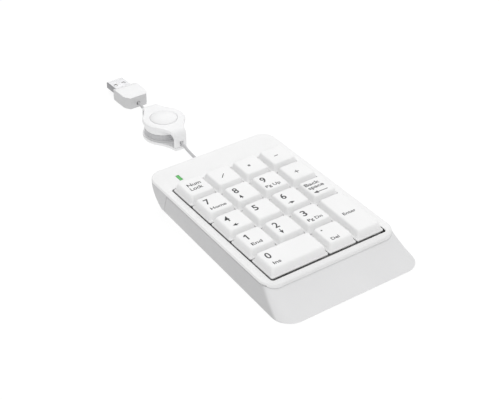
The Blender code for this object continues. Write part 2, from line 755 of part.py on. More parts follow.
# ------------------------------------------------------------ dome sheet and membranes
HALF_A, HALF_B = 37.6, 47.4
dome_sheet = box("rubber_dome_sheet", (-HALF_A, -HALF_B, SHEET_UNDER), (HALF_A, HALF_B, SHEET_TOP), RUBBER, key_plane)
outside, inside_ = bmesh.new(), bmesh.new()
for a, b in CENTRES.values():
    add_turned(outside, (a, b), [(5.6, SHEET_TOP - 0.2), (5.5, SHEET_TOP + 0.6), (4.9, SHEET_TOP + 0.9), (2.9, DOME_TOP - 0.5), (2.6, DOME_TOP)], 12)
    add_turned(inside_, (a, b), [(4.8, SHEET_UNDER - 0.5), (4.7, SHEET_TOP + 0.4), (2.3, DOME_TOP - 0.9), (1.4, DOME_TOP - 0.75)], 12)
boolean(dome_sheet, new_object("domes", new_mesh("domes", outside), cutter=True, parent=key_plane), "UNION")
boolean(dome_sheet, new_object("dome_hollows", new_mesh("hollows", inside_), cutter=True, parent=key_plane))
bm = bmesh.new()
for a, b in CASE_SCREWS:
    add_cylinder(bm, (a, b, 0), "Z", -12, -9, 2.85, 14)
passages = new_object("boss_passages", new_mesh("passages", bm), cutter=True, parent=key_plane)
boolean(dome_sheet, passages)

for name, top in MEMBRANES.items():
    has_tail = name != "membrane_spacer"
    outline = [(-HALF_A, -HALF_B), (HALF_A, -HALF_B), (HALF_A, HALF_B)]
    if has_tail:
        outline += [(8.0, HALF_B), (8.0, 56.0), (-12.0, 56.0), (-12.0, HALF_B)]
    outline.append((-HALF_A, HALF_B))
    film = prism(name, outline, top - MEMBRANE_THICK, top, FILM, key_plane)
    boolean(film, passages)
    if name == "membrane_spacer":
        bm = bmesh.new()
        for a, b in CENTRES.values():
            add_cylinder(bm, (a, b, 0), "Z", -12, -9, 2.2, 8)
        boolean(film, new_object("contact_windows", new_mesh("windows", bm), cutter=True, parent=key_plane))

# ------------------------------------------------------------ controller bay
pcb = box("controller_board", (-33, 50.6, PCB_TOP - PCB_THICK), (20, 60.0, PCB_TOP), BOARD, key_plane)
clamp = box("membrane_clamp_bar", (-17.2, 51.2, -10.15), (13.2, 56.2, -8.5), STEEL, key_plane)
bm = bmesh.new()
add_box(bm, (-17.2, 51.2, -11.05), (-12.6, 56.2, -9.5))
add_box(bm, (8.6, 51.2, -11.05), (13.2, 56.2, -9.5))
boolean(clamp, new_object("clamp_feet", new_mesh("clamp_feet", bm), cutter=True, parent=key_plane), "UNION")
bm = bmesh.new()
for a, b in CLAMP_SCREWS:
    add_cylinder(bm, (a, b, 0), "Z", -13.5, -7.0, 1.15, 12)
clamp_holes = new_object("clamp_holes", new_mesh("clamp_holes", bm), cutter=True, parent=key_plane)
boolean(clamp, clamp_holes)
boolean(pcb, clamp_holes)
lead_notch = box("lead_notch", (OUTLET_X - 1.8, 57.3, -14), (OUTLET_X + 1.8, 62.0, -9), parent=key_plane, cutter=True)
boolean(pcb, lead_notch)

turned("controller_chip", [(0, -9.9), (1.2, -10.0), (2.1, -10.4), (2.6, -11.1), (0, -11.1)], EPOXY, key_plane, (16.6, 56.6, 0), 16)
turned("status_led", [(0, -6.0), (0.9, -6.3), (1.4, -7.0), (1.45, -9.8), (1.8, -9.8), (1.8, -11.1), (0, -11.1)], GREEN, key_plane, (LED_A, LED_B, 0), 14)

bm = bmesh.new()
rows_of = []
for half_a, half_b, w in ((1.0, 2.6, -5.4), (1.0, 2.6, -3.1), (1.9, 3.5, -3.1), (1.9, 3.5, -2.1), (1.0, 2.6, -2.1), (1.0, 2.6, 0.0)):
    rows_of.append([bm.verts.new(Vector((x * half_a, y * half_b, w)) * MM) for x, y in ((-1, -1), (1, -1), (1, 1), (-1, 1))])
for low, high in zip(rows_of, rows_of[1:]):
    for i in range(4):
        j = (i + 1) % 4
        bm.faces.new((low[i], low[j], high[j], high[i]))
bm.faces.new(rows_of[0][::-1])
bm.faces.new(rows_of[-1])
new_object("led_window", new_mesh("led_window", bm), GREEN, key_plane, (LED_A, LED_B, 0))

# ------------------------------------------------------------ screws
def screw(name, at, head_r, head_low, head_high, shank_r, shank_end):
    """Head below, shank up, when head_high is the seat; the other way round when it is on top."""
    if shank_end > head_high:
        profile = [(0, shank_end), (shank_r * 0.6, shank_end), (shank_r, shank_end - 0.6), (shank_r, head_high),
                   (head_r, head_high), (head_r, head_low + 0.3), (head_r - 0.4, head_low), (0, head_low)]
    else:
        profile = [(0, head_high), (head_r - 0.4, head_high), (head_r, head_high - 0.3), (head_r, head_low),
                   (shank_r, head_low), (shank_r, shank_end + 0.6), (shank_r * 0.6, shank_end), (0, shank_end)]
    return turned(name, profile, STEEL, key_plane, (*at, 0), 14)


SCREW_NAMES = ("case_screw_front_left", "case_screw_front_right", "case_screw_rear_left", "case_screw_rear_right")
for name, at in zip(SCREW_NAMES, CASE_SCREWS):
    screw(name, at, 2.3, -14.2, -12.98, 1.15, -7.0)
for name, at in zip(("board_screw_left", "board_screw_right"), CLAMP_SCREWS):
    screw(name, at, 1.9, -8.3, -7.3, 0.95, -15.0)

# ------------------------------------------------------------ cable outlet and lead
turned(
    "cable_grommet",
    [
        (1.0, RELIEF_END), (1.75, RELIEF_END), (2.0, RELIEF_END - 2.5), (2.5, OUTLET_FACE + 1.6), (3.1, OUTLET_FACE + 1.4),
        (3.1, OUTLET_FACE + 0.25), (2.05, OUTLET_FACE + 0.25), (2.05, 63.3), (2.9, 63.3), (2.9, 62.1), (1.0, 62.1),
    ],
    CORD, at=(OUTLET_X, 0, OUTLET_Z), steps=20, axis="Y",
)
# the profile is turned about Y, so its height runs to the rear
tube("cable_inner_lead", [(OUTLET_X, y, OUTLET_Z) for y in (61.7, 60.9, 60.0, 59.1)], 0.95, CORD)

REEL_HOLE_Z = 4.4
REEL_HOLE_X = 0.35


def reel_point(x, y, z):
    c, s = math.cos(REEL_TURN), math.sin(REEL_TURN)
    return (REEL_X + x * c - y * s, REEL_Y + x * s + y * c, z)


near = reel_point(REEL_HOLE_X, -REEL_HALF, REEL_HOLE_Z)
route = [
    (OUTLET_X, RELIEF_END + 0.45, OUTLET_Z), (4.2, 81.5, 5.0), (4.9, 87.5, 2.7), (5.5, 93.5, 1.75),
    (5.75, 100.0, 2.4), (5.6, near[1] - 2.2, 4.0), reel_point(REEL_HOLE_X, -REEL_HALF + 0.9, REEL_HOLE_Z),
]
tube("cord_keypad_to_reel", smooth_route(route, 13), CORD_R, CORD)
far = reel_point(0, REEL_HALF - 0.9, REEL_HOLE_Z)
tube(
    "cord_reel_to_plug",
    smooth_route([far, reel_point(0.2, REEL_HALF + 2.5, 4.5), (9.4, 158.5, 3.4), (10.8, 165.0, 2.9), (PLUG_X - 0.1, PLUG_REAR - 0.3, 2.9)], 9),
    CORD_R, CORD,
)

# ------------------------------------------------------------ cable reel
reel = bpy.data.objects.new("reel", None)
PARTS.objects.link(reel)
reel.location = Vector((REEL_X, REEL_Y, 0)) * MM
reel.rotation_euler = (0, 0, REEL_TURN)


def reel_outline(grow=0.0):
    """A disc drawn out into a nose at each end."""
    quarter = []
    top = math.radians(43)
    for i in range(6):
        angle = top * i / 5
        quarter.append((REEL_R * math.cos(angle), REEL_R * math.sin(angle)))
    x0, y0 = quarter[-1]
    x1, y1 = REEL_NOSE + 0.25, REEL_HALF - 1.2
    for i in range(1, 5):
        t = i / 4
        bend = -0.9 * math.sin(math.pi * t)
        quarter.append((x0 + (x1 - x0) * t + bend, y0 + (y1 - y0) * t))
    quarter.append((REEL_NOSE - 0.1, REEL_HALF - 0.35))
    quarter.append((REEL_NOSE - 0.8, REEL_HALF))
    quarter = [(x + (grow if x > 0 else 0), y + (grow if y > 20 else 0)) for x, y in quarter]
    half = quarter + [(-x, y) for x, y in quarter[::-1]]
    return half[:-1] + [(-x, -y) for x, y in half][:-1]


def reel_plate(name, levels, paint, cutter=False):
    """The reel's outline at several heights, drawn in by a share at each."""
    rings = [[Vector((x * k, y * (k * 0.35 + 0.65), z)) * MM for x, y in reel_outline()] for z, k in levels]
    made = loft(name, rings, paint, cutter)
    made.parent = reel
    return made


bottom_shell = reel_plate("reel_bottom_shell", ((0.0, 0.955), (0.5, 1.0), (REEL_PLATE, 1.0)), REEL)
bm = bmesh.new()
add_cylinder(bm, (0, 0, 0), "Z", 1.2, 10.3, 2.0, 16)
boolean(bottom_shell, new_object("reel_post", new_mesh("reel_post", bm), cutter=True, parent=reel), "UNION")
bm = bmesh.new()
add_cylinder(bm, (0, 0, 0), "Z", 4.0, 12.0, 0.95, 10)
add_box(bm, (-1.0, 6.2, 0.75), (1.0, 10.6, 3.0))
boolean(bottom_shell, new_object("reel_post_bore", new_mesh("reel_post_bore", bm), cutter=True, parent=reel))

# the top shell is a plate whose two ends bend down to the bottom plate; its sides stay open
top_shell = reel_plate("reel_top_shell", ((2.1, 1.0), (11.7, 0.985), (REEL_TOP, 0.92)), REEL)
NOSE_ROLL_Y, NOSE_ROLL_Z, NOSE_WALL = 5.3, 5.0, 1.2


def reel_side_cutter(name, outline):
    cutter = side_prism(name, outline, -20, 20)
    cutter.parent = reel
    return cutter


roll_y, roll_z = REEL_HALF - NOSE_ROLL_Y, REEL_TOP - NOSE_ROLL_Z
inner = [
    (roll_y + (NOSE_ROLL_Y - NOSE_WALL) * math.sin(q), roll_z + (REEL_TOP_UNDER - roll_z) * math.cos(q))
    for q in (math.pi / 2 * i / 6 for i in range(7))
]
side_opening = inner + [(inner[-1][0], 1.0)]
boolean(top_shell, reel_side_cutter("side_opening", side_opening + [(-y, z) for y, z in side_opening[::-1]]))
for sign, label in ((-1, "near"), (1, "far")):
    x = REEL_HOLE_X if sign < 0 else 0.0
    low, high = sorted((sign * (REEL_HALF - 4), sign * (REEL_HALF + 2)))
    boolean(top_shell, box(f"nose_slot_{label}", (x - 1.35, low, REEL_HOLE_Z - 1.75), (x + 1.35, high, REEL_HOLE_Z + 1.75), parent=reel, cutter=True))
    roll = [
        (sign * (roll_y + NOSE_ROLL_Y * math.sin(q)), roll_z + NOSE_ROLL_Z * math.cos(q))
        for q in (math.pi / 2 * i / 6 for i in range(7))
    ]
    start = sign * roll_y
    boolean(top_shell, reel_side_cutter(
        f"nose_roll_{label}",
        [(start - sign * 1.0, REEL_TOP + 0.01)] + roll[1:] + [(sign * 26, roll[-1][1]), (sign * 26, 16), (start - sign * 1.0, 16)],
    ))
bm = bmesh.new()
add_cylinder(bm, (0, 0, 0), "Z", 11.9, 14.0, REEL_CAP_R + 0.25, 28)
boolean(top_shell, new_object("cap_recess", new_mesh("cap_recess", bm), cutter=True, parent=reel))
bm = bmesh.new()
add_cylinder(bm, (0, 0, 0), "Z", 10.0, 12.5, 1.1, 10)
boolean(top_shell, new_object("axle_hole", new_mesh("axle_hole", bm), cutter=True, parent=reel))

turned("reel_cap", [(0, 13.5), (4.0, 13.4), (6.8, 13.05), (8.2, 12.65), (REEL_CAP_R, 12.1), (5.0, 12.1), (4.6, 12.9), (0, 12.95)], REEL, reel, steps=28)
turned("reel_axle_screw", [(0, 12.75), (1.9, 12.75), (2.2, 12.5), (2.2, 12.05), (0.8, 12.05), (0.8, 5.0), (0, 4.6)], STEEL, reel, steps=14)
turned(
    "reel_spool",
    [
        (2.2, 7.2), (11.0, 7.2), (11.0, 9.9), (12.2, 9.9), (12.2, 6.1),
        (4.4, 6.1), (4.4, 3.1), (12.5, 3.1), (12.5, 2.1), (11.0, 2.1), (11.0, 2.8), (6.6, 2.8), (6.6, 2.1), (2.2, 2.1),
    ],
    SPOOL, reel, steps=28,
)
turned("reel_wound_cord", [(4.8, 5.9), (12.1, 5.9), (12.1, 3.3), (4.8, 3.3)], CORD, reel, steps=28)
bm = bmesh.new()
bmesh.ops.create_uvsphere(bm, u_segments=10, v_segments=6, radius=0.8 * MM)
new_object("reel_ratchet_ball", new_mesh("ball", bm, smooth=True), STEEL, reel, (0, 8.8, 1.75))

# flat spiral spring between the post and the spool's drum
TURNS, PER_TURN = 4, 18
ring_points = []
for i in range(TURNS * PER_TURN + 1):
    angle = 2 * math.pi * i / PER_TURN
    ring_points.append((2.6 + (10.3 - 2.6) * i / (TURNS * PER_TURN), angle))
bm = bmesh.new()
rows_of = []
for r, angle in ring_points:
    c, s = math.cos(angle), math.sin(angle)
    rows_of.append([bm.verts.new(Vector((q * c, q * s, z)) * MM) for q, z in ((r - 0.12, 7.5), (r + 0.12, 7.5), (r + 0.12, 9.7), (r - 0.12, 9.7))])
for low, high in zip(rows_of, rows_of[1:]):
    for i in range(4):
        j = (i + 1) % 4
        bm.faces.new((low[i], low[j], high[j], high[i]))
bm.faces.new(rows_of[0][::-1])
bm.faces.new(rows_of[-1])
new_object("reel_spiral_spring", new_mesh("reel_spiral_spring", bm), STEEL, reel)

# ------------------------------------------------------------ plug
plug_outline = [
    (-PLUG_HALF + 2.6, PLUG_REAR), (PLUG_HALF - 2.6, PLUG_REAR), (PLUG_HALF - 0.6, PLUG_REAR + 3.0), (PLUG_HALF, PLUG_REAR + 4.9),
    (PLUG_HALF, PLUG_FRONT - 2.2), (PLUG_HALF - 0.7, PLUG_FRONT), (-PLUG_HALF + 0.7, PLUG_FRONT), (-PLUG_HALF, PLUG_FRONT - 2.2),
    (-PLUG_HALF, PLUG_REAR + 4.9), (-PLUG_HALF + 0.6, PLUG_REAR + 3.0),
]
plug_body = prism("plug_body", plug_outline, 0.0, PLUG_H, TONGUE, at=(PLUG_X, 0, 0))
plug_body.data.materials[0] = REEL
bevel = plug_body.modifiers.new("edges", "BEVEL")
bevel.width = 0.45 * MM
bevel.segments = 2
bevel.limit_method = "ANGLE"
bevel.angle_limit = math.radians(50)
bm = bmesh.new()
add_box(bm, (-SHELL_W / 2 - 0.2, PLUG_FRONT - 4.6, SHELL_Z - SHELL_H / 2 - 0.2), (SHELL_W / 2 + 0.2, PLUG_FRONT + 3, SHELL_Z + SHELL_H / 2 + 0.2))
boolean(plug_body, new_object("plug_pocket", new_mesh("plug_pocket", bm), cutter=True, at=(PLUG_X, 0, 0)))

shell_back = PLUG_FRONT - 4.3
shell = box(
    "plug_metal_shell",
    (-SHELL_W / 2, shell_back, SHELL_Z - SHELL_H / 2), (SHELL_W / 2, PLUG_TIP, SHELL_Z + SHELL_H / 2),
    STEEL, at=(PLUG_X, 0, 0),
)
bevel = shell.modifiers.new("edges", "BEVEL")
bevel.width = 0.4 * MM
bevel.segments = 2
bm = bmesh.new()
inner_a, inner_z = SHELL_W / 2 - SHELL_WALL, SHELL_H / 2 - SHELL_WALL
add_box(bm, (-inner_a, shell_back - 2, SHELL_Z - inner_z), (inner_a, PLUG_TIP + 2, SHELL_Z + inner_z))
boolean(shell, new_object("shell_hollow", new_mesh("shell_hollow", bm), cutter=True, at=(PLUG_X, 0, 0)))
bm = bmesh.new()
for x in (-3.05, 3.05):
    add_box(bm, (x - 1.0, PLUG_TIP - 8.2, SHELL_Z + 1.0), (x + 1.0, PLUG_TIP - 5.8, SHELL_Z + 5))
    add_box(bm, (x - 1.0, PLUG_TIP - 8.2, SHELL_Z - 5), (x + 1.0, PLUG_TIP - 5.8, SHELL_Z - 1.6))
boolean(shell, new_object("shell_windows", new_mesh("shell_windows", bm), cutter=True, at=(PLUG_X, 0, 0)))

tongue = box(
    "plug_tongue",
    (-inner_a + 0.15, shell_back + 0.3, SHELL_Z - inner_z + 0.15), (inner_a - 0.15, PLUG_TIP - 0.7, SHELL_Z - 0.05),
    TONGUE, at=(PLUG_X, 0, 0),
)
rear_block = box(
    "tongue_rear_block",
    (-inner_a + 0.15, shell_back + 0.3, SHELL_Z - inner_z + 0.15), (inner_a - 0.15, shell_back + 2.6, SHELL_Z + inner_z - 0.15),
    cutter=True, at=(PLUG_X, 0, 0),
)
boolean(tongue, rear_block, "UNION")
for number, (x, back) in enumerate(((-3.5, 9.0), (-1.0, 8.0), (1.0, 8.0), (3.5, 9.0)), 1):
    box(
        f"plug_contact_{number}",
        (x - 0.5, PLUG_TIP - 1.4 - back, SHELL_Z + 0.02), (x + 0.5, PLUG_TIP - 1.4, SHELL_Z + 0.24),
        GOLD, at=(PLUG_X, 0, 0),
    )
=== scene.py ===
import json
import math
import random

import bmesh
import bpy
from mathutils import Matrix, Vector

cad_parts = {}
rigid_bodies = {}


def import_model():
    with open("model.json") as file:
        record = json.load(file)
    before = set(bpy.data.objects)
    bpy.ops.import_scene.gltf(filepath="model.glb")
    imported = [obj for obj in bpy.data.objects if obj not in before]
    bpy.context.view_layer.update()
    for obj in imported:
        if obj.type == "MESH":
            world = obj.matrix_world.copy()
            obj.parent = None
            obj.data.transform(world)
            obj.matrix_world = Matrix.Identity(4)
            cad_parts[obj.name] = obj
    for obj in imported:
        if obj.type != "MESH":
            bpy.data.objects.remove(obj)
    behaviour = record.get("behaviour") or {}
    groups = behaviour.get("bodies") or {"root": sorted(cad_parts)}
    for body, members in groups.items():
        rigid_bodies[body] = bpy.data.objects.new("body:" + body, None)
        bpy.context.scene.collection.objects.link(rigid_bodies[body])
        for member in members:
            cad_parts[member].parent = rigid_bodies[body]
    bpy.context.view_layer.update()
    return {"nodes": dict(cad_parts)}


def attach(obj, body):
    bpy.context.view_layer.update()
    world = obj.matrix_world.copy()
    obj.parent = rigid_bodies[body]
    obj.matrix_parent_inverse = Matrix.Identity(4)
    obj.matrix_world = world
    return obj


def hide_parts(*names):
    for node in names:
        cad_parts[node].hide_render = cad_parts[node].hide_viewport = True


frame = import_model()
NODES = frame["nodes"]
scene = bpy.context.scene
scene.view_settings.view_transform = "Standard"

# ------------------------------------------------------------ camera
camera_data = bpy.data.cameras.new("camera")
camera_data.lens = 90.46
camera_data.sensor_width = 36.0
camera_data.clip_start, camera_data.clip_end = 0.02, 30.0
camera = bpy.data.objects.new("camera", camera_data)
scene.collection.objects.link(camera)
camera.location = (-0.34435, -0.45852, 0.41256)
camera.rotation_mode = "QUATERNION"
camera.rotation_quaternion = Vector((0.47899, 0.67490, -0.56132)).to_track_quat("-Z", "Y")
scene.camera = camera


# ------------------------------------------------------------ materials
def finish_material(
    name, colour, rough, grain=1400.0, bump=0.10, depth=0.00002, shade=0.012, rough_spread=0.06,
    metallic=0.0, coat=0.0, ior=1.5, sheen=0.0, emission=0.0, blotch=55.0, scratch=0.0, subsurface=0.0,
):
    """A finish with slight colour drift, a fine moulded grain, uneven gloss and, where asked, fine handling marks."""
    made = bpy.data.materials.new(name)
    made.use_nodes = True
    tree = made.node_tree
    shader = tree.nodes["Principled BSDF"]
    place = tree.nodes.new("ShaderNodeTexCoord")

    def noise(scale, detail=4.0, roughness=0.55):
        node = tree.nodes.new("ShaderNodeTexNoise")
        node.inputs["Scale"].default_value = scale
        node.inputs["Detail"].default_value = detail
        node.inputs["Roughness"].default_value = roughness
        tree.links.new(place.outputs["Object"], node.inputs["Vector"])
        return node.outputs["Fac"]

    def ranged(source, low, high):
        node = tree.nodes.new("ShaderNodeMapRange")
        node.inputs["From Min"].default_value = 0.3
        node.inputs["From Max"].default_value = 0.7
        node.inputs["To Min"].default_value = low
        node.inputs["To Max"].default_value = high
        tree.links.new(source, node.inputs["Value"])
        return node.outputs["Result"]

    mix = tree.nodes.new("ShaderNodeMix")
    mix.data_type = "RGBA"
    low = [max(0.0, c * (1 - shade)) for c in colour]
    high = [min(1.0, c * (1 + shade)) for c in colour]
    mix.inputs[6].default_value = (*low, 1.0)
    mix.inputs[7].default_value = (*high, 1.0)
    tree.links.new(ranged(noise(blotch, 5.0), 0.0, 1.0), mix.inputs[0])
    tree.links.new(mix.outputs[2], shader.inputs["Base Color"])
    tree.links.new(
        ranged(noise(blotch * 4.3, 6.0, 0.62), max(0.04, rough - rough_spread), min(1.0, rough + rough_spread)),
        shader.inputs["Roughness"],
    )
    height = noise(grain, 3.0, 0.6)
    if scratch:
        lines = tree.nodes.new("ShaderNodeTexNoise")
        stretch = tree.nodes.new("ShaderNodeMapping")
        stretch.inputs["Scale"].default_value = (1.0, 14.0, 1.0)
        stretch.inputs["Rotation"].default_value = (0.0, 0.0, 0.35)
        tree.links.new(place.outputs["Object"], stretch.inputs["Vector"])
        tree.links.new(stretch.outputs["Vector"], lines.inputs["Vector"])
        lines.inputs["Scale"].default_value = grain * 0.25
        lines.inputs["Detail"].default_value = 6.0
        total = tree.nodes.new("ShaderNodeMath")
        total.operation = "MULTIPLY_ADD"
        total.inputs[1].default_value = scratch
        tree.links.new(lines.outputs["Fac"], total.inputs[0])
        tree.links.new(height, total.inputs[2])
        height = total.outputs["Value"]
    relief = tree.nodes.new("ShaderNodeBump")
    relief.inputs["Strength"].default_value = bump
    relief.inputs["Distance"].default_value = depth
    tree.links.new(height, relief.inputs["Height"])
    tree.links.new(relief.outputs["Normal"], shader.inputs["Normal"])
    shader.inputs["Metallic"].default_value = metallic
    shader.inputs["IOR"].default_value = ior
    shader.inputs["Coat Weight"].default_value = coat
    shader.inputs["Coat Roughness"].default_value = 0.25
    shader.inputs["Sheen Weight"].default_value = sheen
    if subsurface:
        shader.inputs["Subsurface Weight"].default_value = subsurface
        shader.inputs["Subsurface Radius"].default_value = (0.0012, 0.0011, 0.001)
        shader.inputs["Subsurface Scale"].default_value = 0.4
    if emission:
        shader.inputs["Emission Color"].default_value = (*colour, 1.0)
        shader.inputs["Emission Strength"].default_value = emission
    return made


M_TOP = finish_material("white_top_plastic", (0.86, 0.86, 0.86), 0.42, coat=0.06)
M_SKIRT = finish_material("skirt_plastic_painted_side_shade", (0.775, 0.775, 0.78), 0.50, grain=1100.0, bump=0.16)
M_KEY = finish_material("keycap_abs", (0.90, 0.90, 0.90), 0.47, grain=1700.0, bump=0.14)
M_LEGEND = finish_material("legend_ink", (0.022, 0.022, 0.025), 0.55, grain=3000.0, bump=0.1, shade=0.10)
# Painted shade: a darker copy of the white top plastic for the top case's rear end and the lowest band of its rim.
M_WRAP_SHADE = finish_material("rear_wrap_painted_shade", (0.585, 0.585, 0.59), 0.48, grain=1200.0, bump=0.14)
# Painted shade: a darker copy of the plug plastic for the plug body's faces that look sideways or down.
M_PLUG_SIDE_SHADE = finish_material("plug_side_painted_shade", (0.60, 0.60, 0.605), 0.50, grain=1300.0, bump=0.12)
# Painted shade: a darker copy of the reel plastic, meant for faces that look sideways or down.
M_REEL_SIDE_SHADE = finish_material("reel_side_painted_shade", (0.70, 0.70, 0.705), 0.46, grain=1300.0, bump=0.12)
# Painted shadow: near-black colour for the well's walls round the keys, standing in for the deep shade in the gap.
M_WELL_SHADOW = finish_material("well_painted_shadow", (0.035, 0.035, 0.037), 0.75, grain=900.0, bump=0.2, shade=0.08)
M_PALE = finish_material("well_plate_plastic", (0.70, 0.70, 0.70), 0.6, grain=900.0, bump=0.2)
M_RUBBER = finish_material("silicone_sheet", (0.74, 0.75, 0.76), 0.62, grain=700.0, bump=0.15, subsurface=0.1)
M_FOOT = finish_material("foot_rubber_pad", (0.10, 0.10, 0.11), 0.85, grain=900.0, bump=0.5, shade=0.08, sheen=0.15)
M_FILM = finish_material("polyester_film", (0.62, 0.68, 0.72), 0.28, grain=500.0, bump=0.04, shade=0.03)
M_BOARD = finish_material("board_laminate", (0.05, 0.24, 0.11), 0.42, grain=2200.0, bump=0.3, shade=0.08, coat=0.4)
M_EPOXY = finish_material("black_potting", (0.02, 0.02, 0.022), 0.32, grain=800.0, bump=0.12, shade=0.2)
M_STEEL = finish_material("plated_steel", (0.62, 0.62, 0.64), 0.30, grain=1500.0, bump=0.08, metallic=1.0, shade=0.04, scratch=0.6)
M_SHELL = finish_material("plug_shell_steel", (0.50, 0.50, 0.51), 0.28, grain=1800.0, bump=0.06, metallic=0.85, shade=0.03, scratch=0.7)
# Painted shade: a darker copy of the plug shell steel for its faces that look sideways or down.
M_SHELL_SIDE_SHADE = finish_material("plug_shell_steel_painted_side_shade", (0.29, 0.29, 0.30), 0.28, grain=1800.0, bump=0.06, metallic=0.85, shade=0.03, scratch=0.7)
M_GREEN = finish_material("green_lens", (0.02, 0.40, 0.03), 0.30, grain=900.0, bump=0.05, shade=0.06, emission=0.05, coat=0.3)
M_CORD = finish_material("cord_jacket_pvc", (0.60, 0.60, 0.61), 0.52, grain=1600.0, bump=0.16, shade=0.02)
M_REEL = finish_material("reel_gloss_plastic", (0.87, 0.87, 0.875), 0.38, grain=1500.0, bump=0.07, coat=0.1)
M_SPOOL = finish_material("spool_nylon", (0.56, 0.56, 0.58), 0.5, grain=1200.0, bump=0.15, shade=0.02)
M_TONGUE = finish_material("tongue_plastic", (0.86, 0.86, 0.85), 0.5, grain=1500.0, bump=0.1)
M_GOLD = finish_material("gold_plate", (0.80, 0.58, 0.24), 0.24, grain=1500.0, bump=0.05, metallic=1.0, shade=0.05, scratch=0.4)


def paint_side_shade(material, level):
    """Painted shade: walls that face left or right get LEVEL times the material's colour, darker than the front,
    standing in for the lesser light they get.
    """
    nodes, links = material.node_tree.nodes, material.node_tree.links
    shader = next(node for node in nodes if node.type == "BSDF_PRINCIPLED")
    socket = shader.inputs["Base Color"]
    surface = nodes.new("ShaderNodeNewGeometry")
    split = nodes.new("ShaderNodeSeparateXYZ")
    size = nodes.new("ShaderNodeMath")
    size.operation = "ABSOLUTE"
    ramp = nodes.new("ShaderNodeMapRange")
    ramp.interpolation_type = "SMOOTHSTEP"
    ramp.inputs["From Min"].default_value = 0.62
    ramp.inputs["From Max"].default_value = 0.90
    ramp.inputs["To Min"].default_value = 1.0
    ramp.inputs["To Max"].default_value = level
    mix = nodes.new("ShaderNodeMix")
    mix.data_type = "RGBA"
    mix.blend_type = "MULTIPLY"
    mix.inputs[0].default_value = 1.0
    if socket.is_linked:
        links.new(socket.links[0].from_socket, mix.inputs[6])
    else:
        mix.inputs[6].default_value = socket.default_value
    links.new(surface.outputs["Normal"], split.inputs[0])
    links.new(split.outputs[0], size.inputs[0])
    links.new(size.outputs[0], ramp.inputs["Value"])
    links.new(ramp.outputs["Result"], mix.inputs[7])
    links.new(mix.outputs[2], socket)


def paint_side_shade_faces(obj, material, limit=0.55):
    """Painted shade: the faces that look sideways or down get a darker copy of the material, standing in for the lesser
    light they get.
    """
    obj.data.materials.append(material)
    index = len(obj.data.materials) - 1
    for face in obj.data.polygons:
        if face.normal.z < limit and face.material_index == 0:
            face.material_index = index


# Painted shade on the skirt: its side walls are darkened to 0.74 of its colour.
paint_side_shade(M_SKIRT, 0.74)

MM = 0.001

# ------------------------------------------------------------ driving dimensions (mm)
PITCH = 19.05
COLS, ROWS = 4, 5
FIELD_A, FIELD_B = COLS * PITCH / 2, ROWS * PITCH / 2

TILT = math.radians(2.32)  # rise of the key plane towards the rear
PLANE_Z = 16.64  # height of the frame's surface at the middle of the key field
PLANE_Y = 1.2  # the key field's middle is this far behind the footprint's middle

# Frame outline, in the key plane
FRAME_FRONT, FRAME_REAR = -51.95, 68.655
FRAME_HALF_FRONT, FRAME_HALF_REAR = 44.0, 42.92
FRAME_R_FRONT, FRAME_R_REAR = 8.2, 9.15
LIP_START = -48.8  # in front of this the frame bends down
LIP_SLOPE = math.tan(math.radians(20))

# Footprint outline, on the desk
BASE_FRONT, BASE_REAR = -69.85, 65.3
BASE_HALF_FRONT, BASE_HALF_REAR = 47.5, 40.22
BASE_R_FRONT, BASE_R_REAR = 10.99, 8.6

CASE_BOTTOM = 1.0  # height of the case above the desk, on its feet
FLOOR_TOP = 2.6
WALL = 2.1
RIM_DEPTH = 1.7  # depth of the top case's rim below the frame's surface
PART_GAP = 0.3  # gap along the parting line
SPLIT_Y_LOW, SPLIT_Z_LOW = 54.1, 0.4  # the slanting joint between skirt and rear end
SPLIT_Y_HIGH, SPLIT_Z_HIGH = 46.9, 16.9

WELL_MARGIN, WELL_MARGIN_FRONT = 0.5, 1.15
WELL_FLOOR, WELL_FLOOR_UNDER = -4.2, -5.4
WELL_WALL = 1.3
WELL_WALL_FRONT = 0.7

# Keys
KEY_TOP, KEY_SKIRT = 4.9, -0.45
KEY_BASE_INSET = 0.3
KEY_TOP_INSET = (1.75, 1.75, 2.0, 1.55)  # left, right, front, rear, at the top edge
KEY_TOP_ROUND = 0.8
# the sides are hollow: height above the frame, share of the way in from the base to the top edge
KEY_SIDE = ((-0.45, 0.0), (0.2, 0.0), (0.6, 0.45), (1.1, 0.62), (2.3, 0.78))
KEY_WALL = 1.15
KEY_TRAVEL = 3.0
STEM_HALF, STEM_GUIDE_HALF = 2.5, 2.68
STEM_END = -6.2

# Under the keys
DOME_TOP, SHEET_TOP, SHEET_UNDER = -6.5, -9.8, -10.25
MEMBRANES = {"membrane_upper": -10.40, "membrane_spacer": -10.66, "membrane_lower": -10.92}
MEMBRANE_THICK = 0.14
DECK_TOP, DECK_UNDER = -11.2, -12.4
CASE_SCREWS = [(-PITCH, -28.575), (PITCH, -28.575), (-PITCH, 28.575), (PITCH, 28.575)]

# Stabiliser wires
WIRE_R, WIRE_ARM, WIRE_PIN_W = 0.4, 8.0, -2.1
WIRE_RISE = KEY_TRAVEL / 2

# Controller bay
PCB_TOP, PCB_THICK = -11.25, 1.2
LED_A, LED_B = -28.3, 55.7
CLAMP_SCREWS = [(-15.0, 53.7), (11.0, 53.7)]

# Cable outlet
OUTLET_X, OUTLET_Z = 4.0, 6.0
OUTLET_FACE = 68.6
RELIEF_END = 78.0
CORD_R = 1.2

# Cable reel
REEL_X, REEL_Y, REEL_TURN = 6.3, 129.2, math.radians(-3.0)
REEL_R, REEL_HALF, REEL_NOSE = 13.6, 21.5, 4.05
REEL_PLATE = 1.8
REEL_TOP_UNDER, REEL_TOP = 10.8, 12.4
REEL_CAP_R = 8.6

# Plug
PLUG_X, PLUG_REAR, PLUG_FRONT, PLUG_TIP = 11.2, 168.6, 187.6, 199.6
PLUG_HALF, PLUG_H = 8.55, 8.3
SHELL_W, SHELL_H, SHELL_WALL = 12.0, 4.5, 0.3
SHELL_Z = 4.15

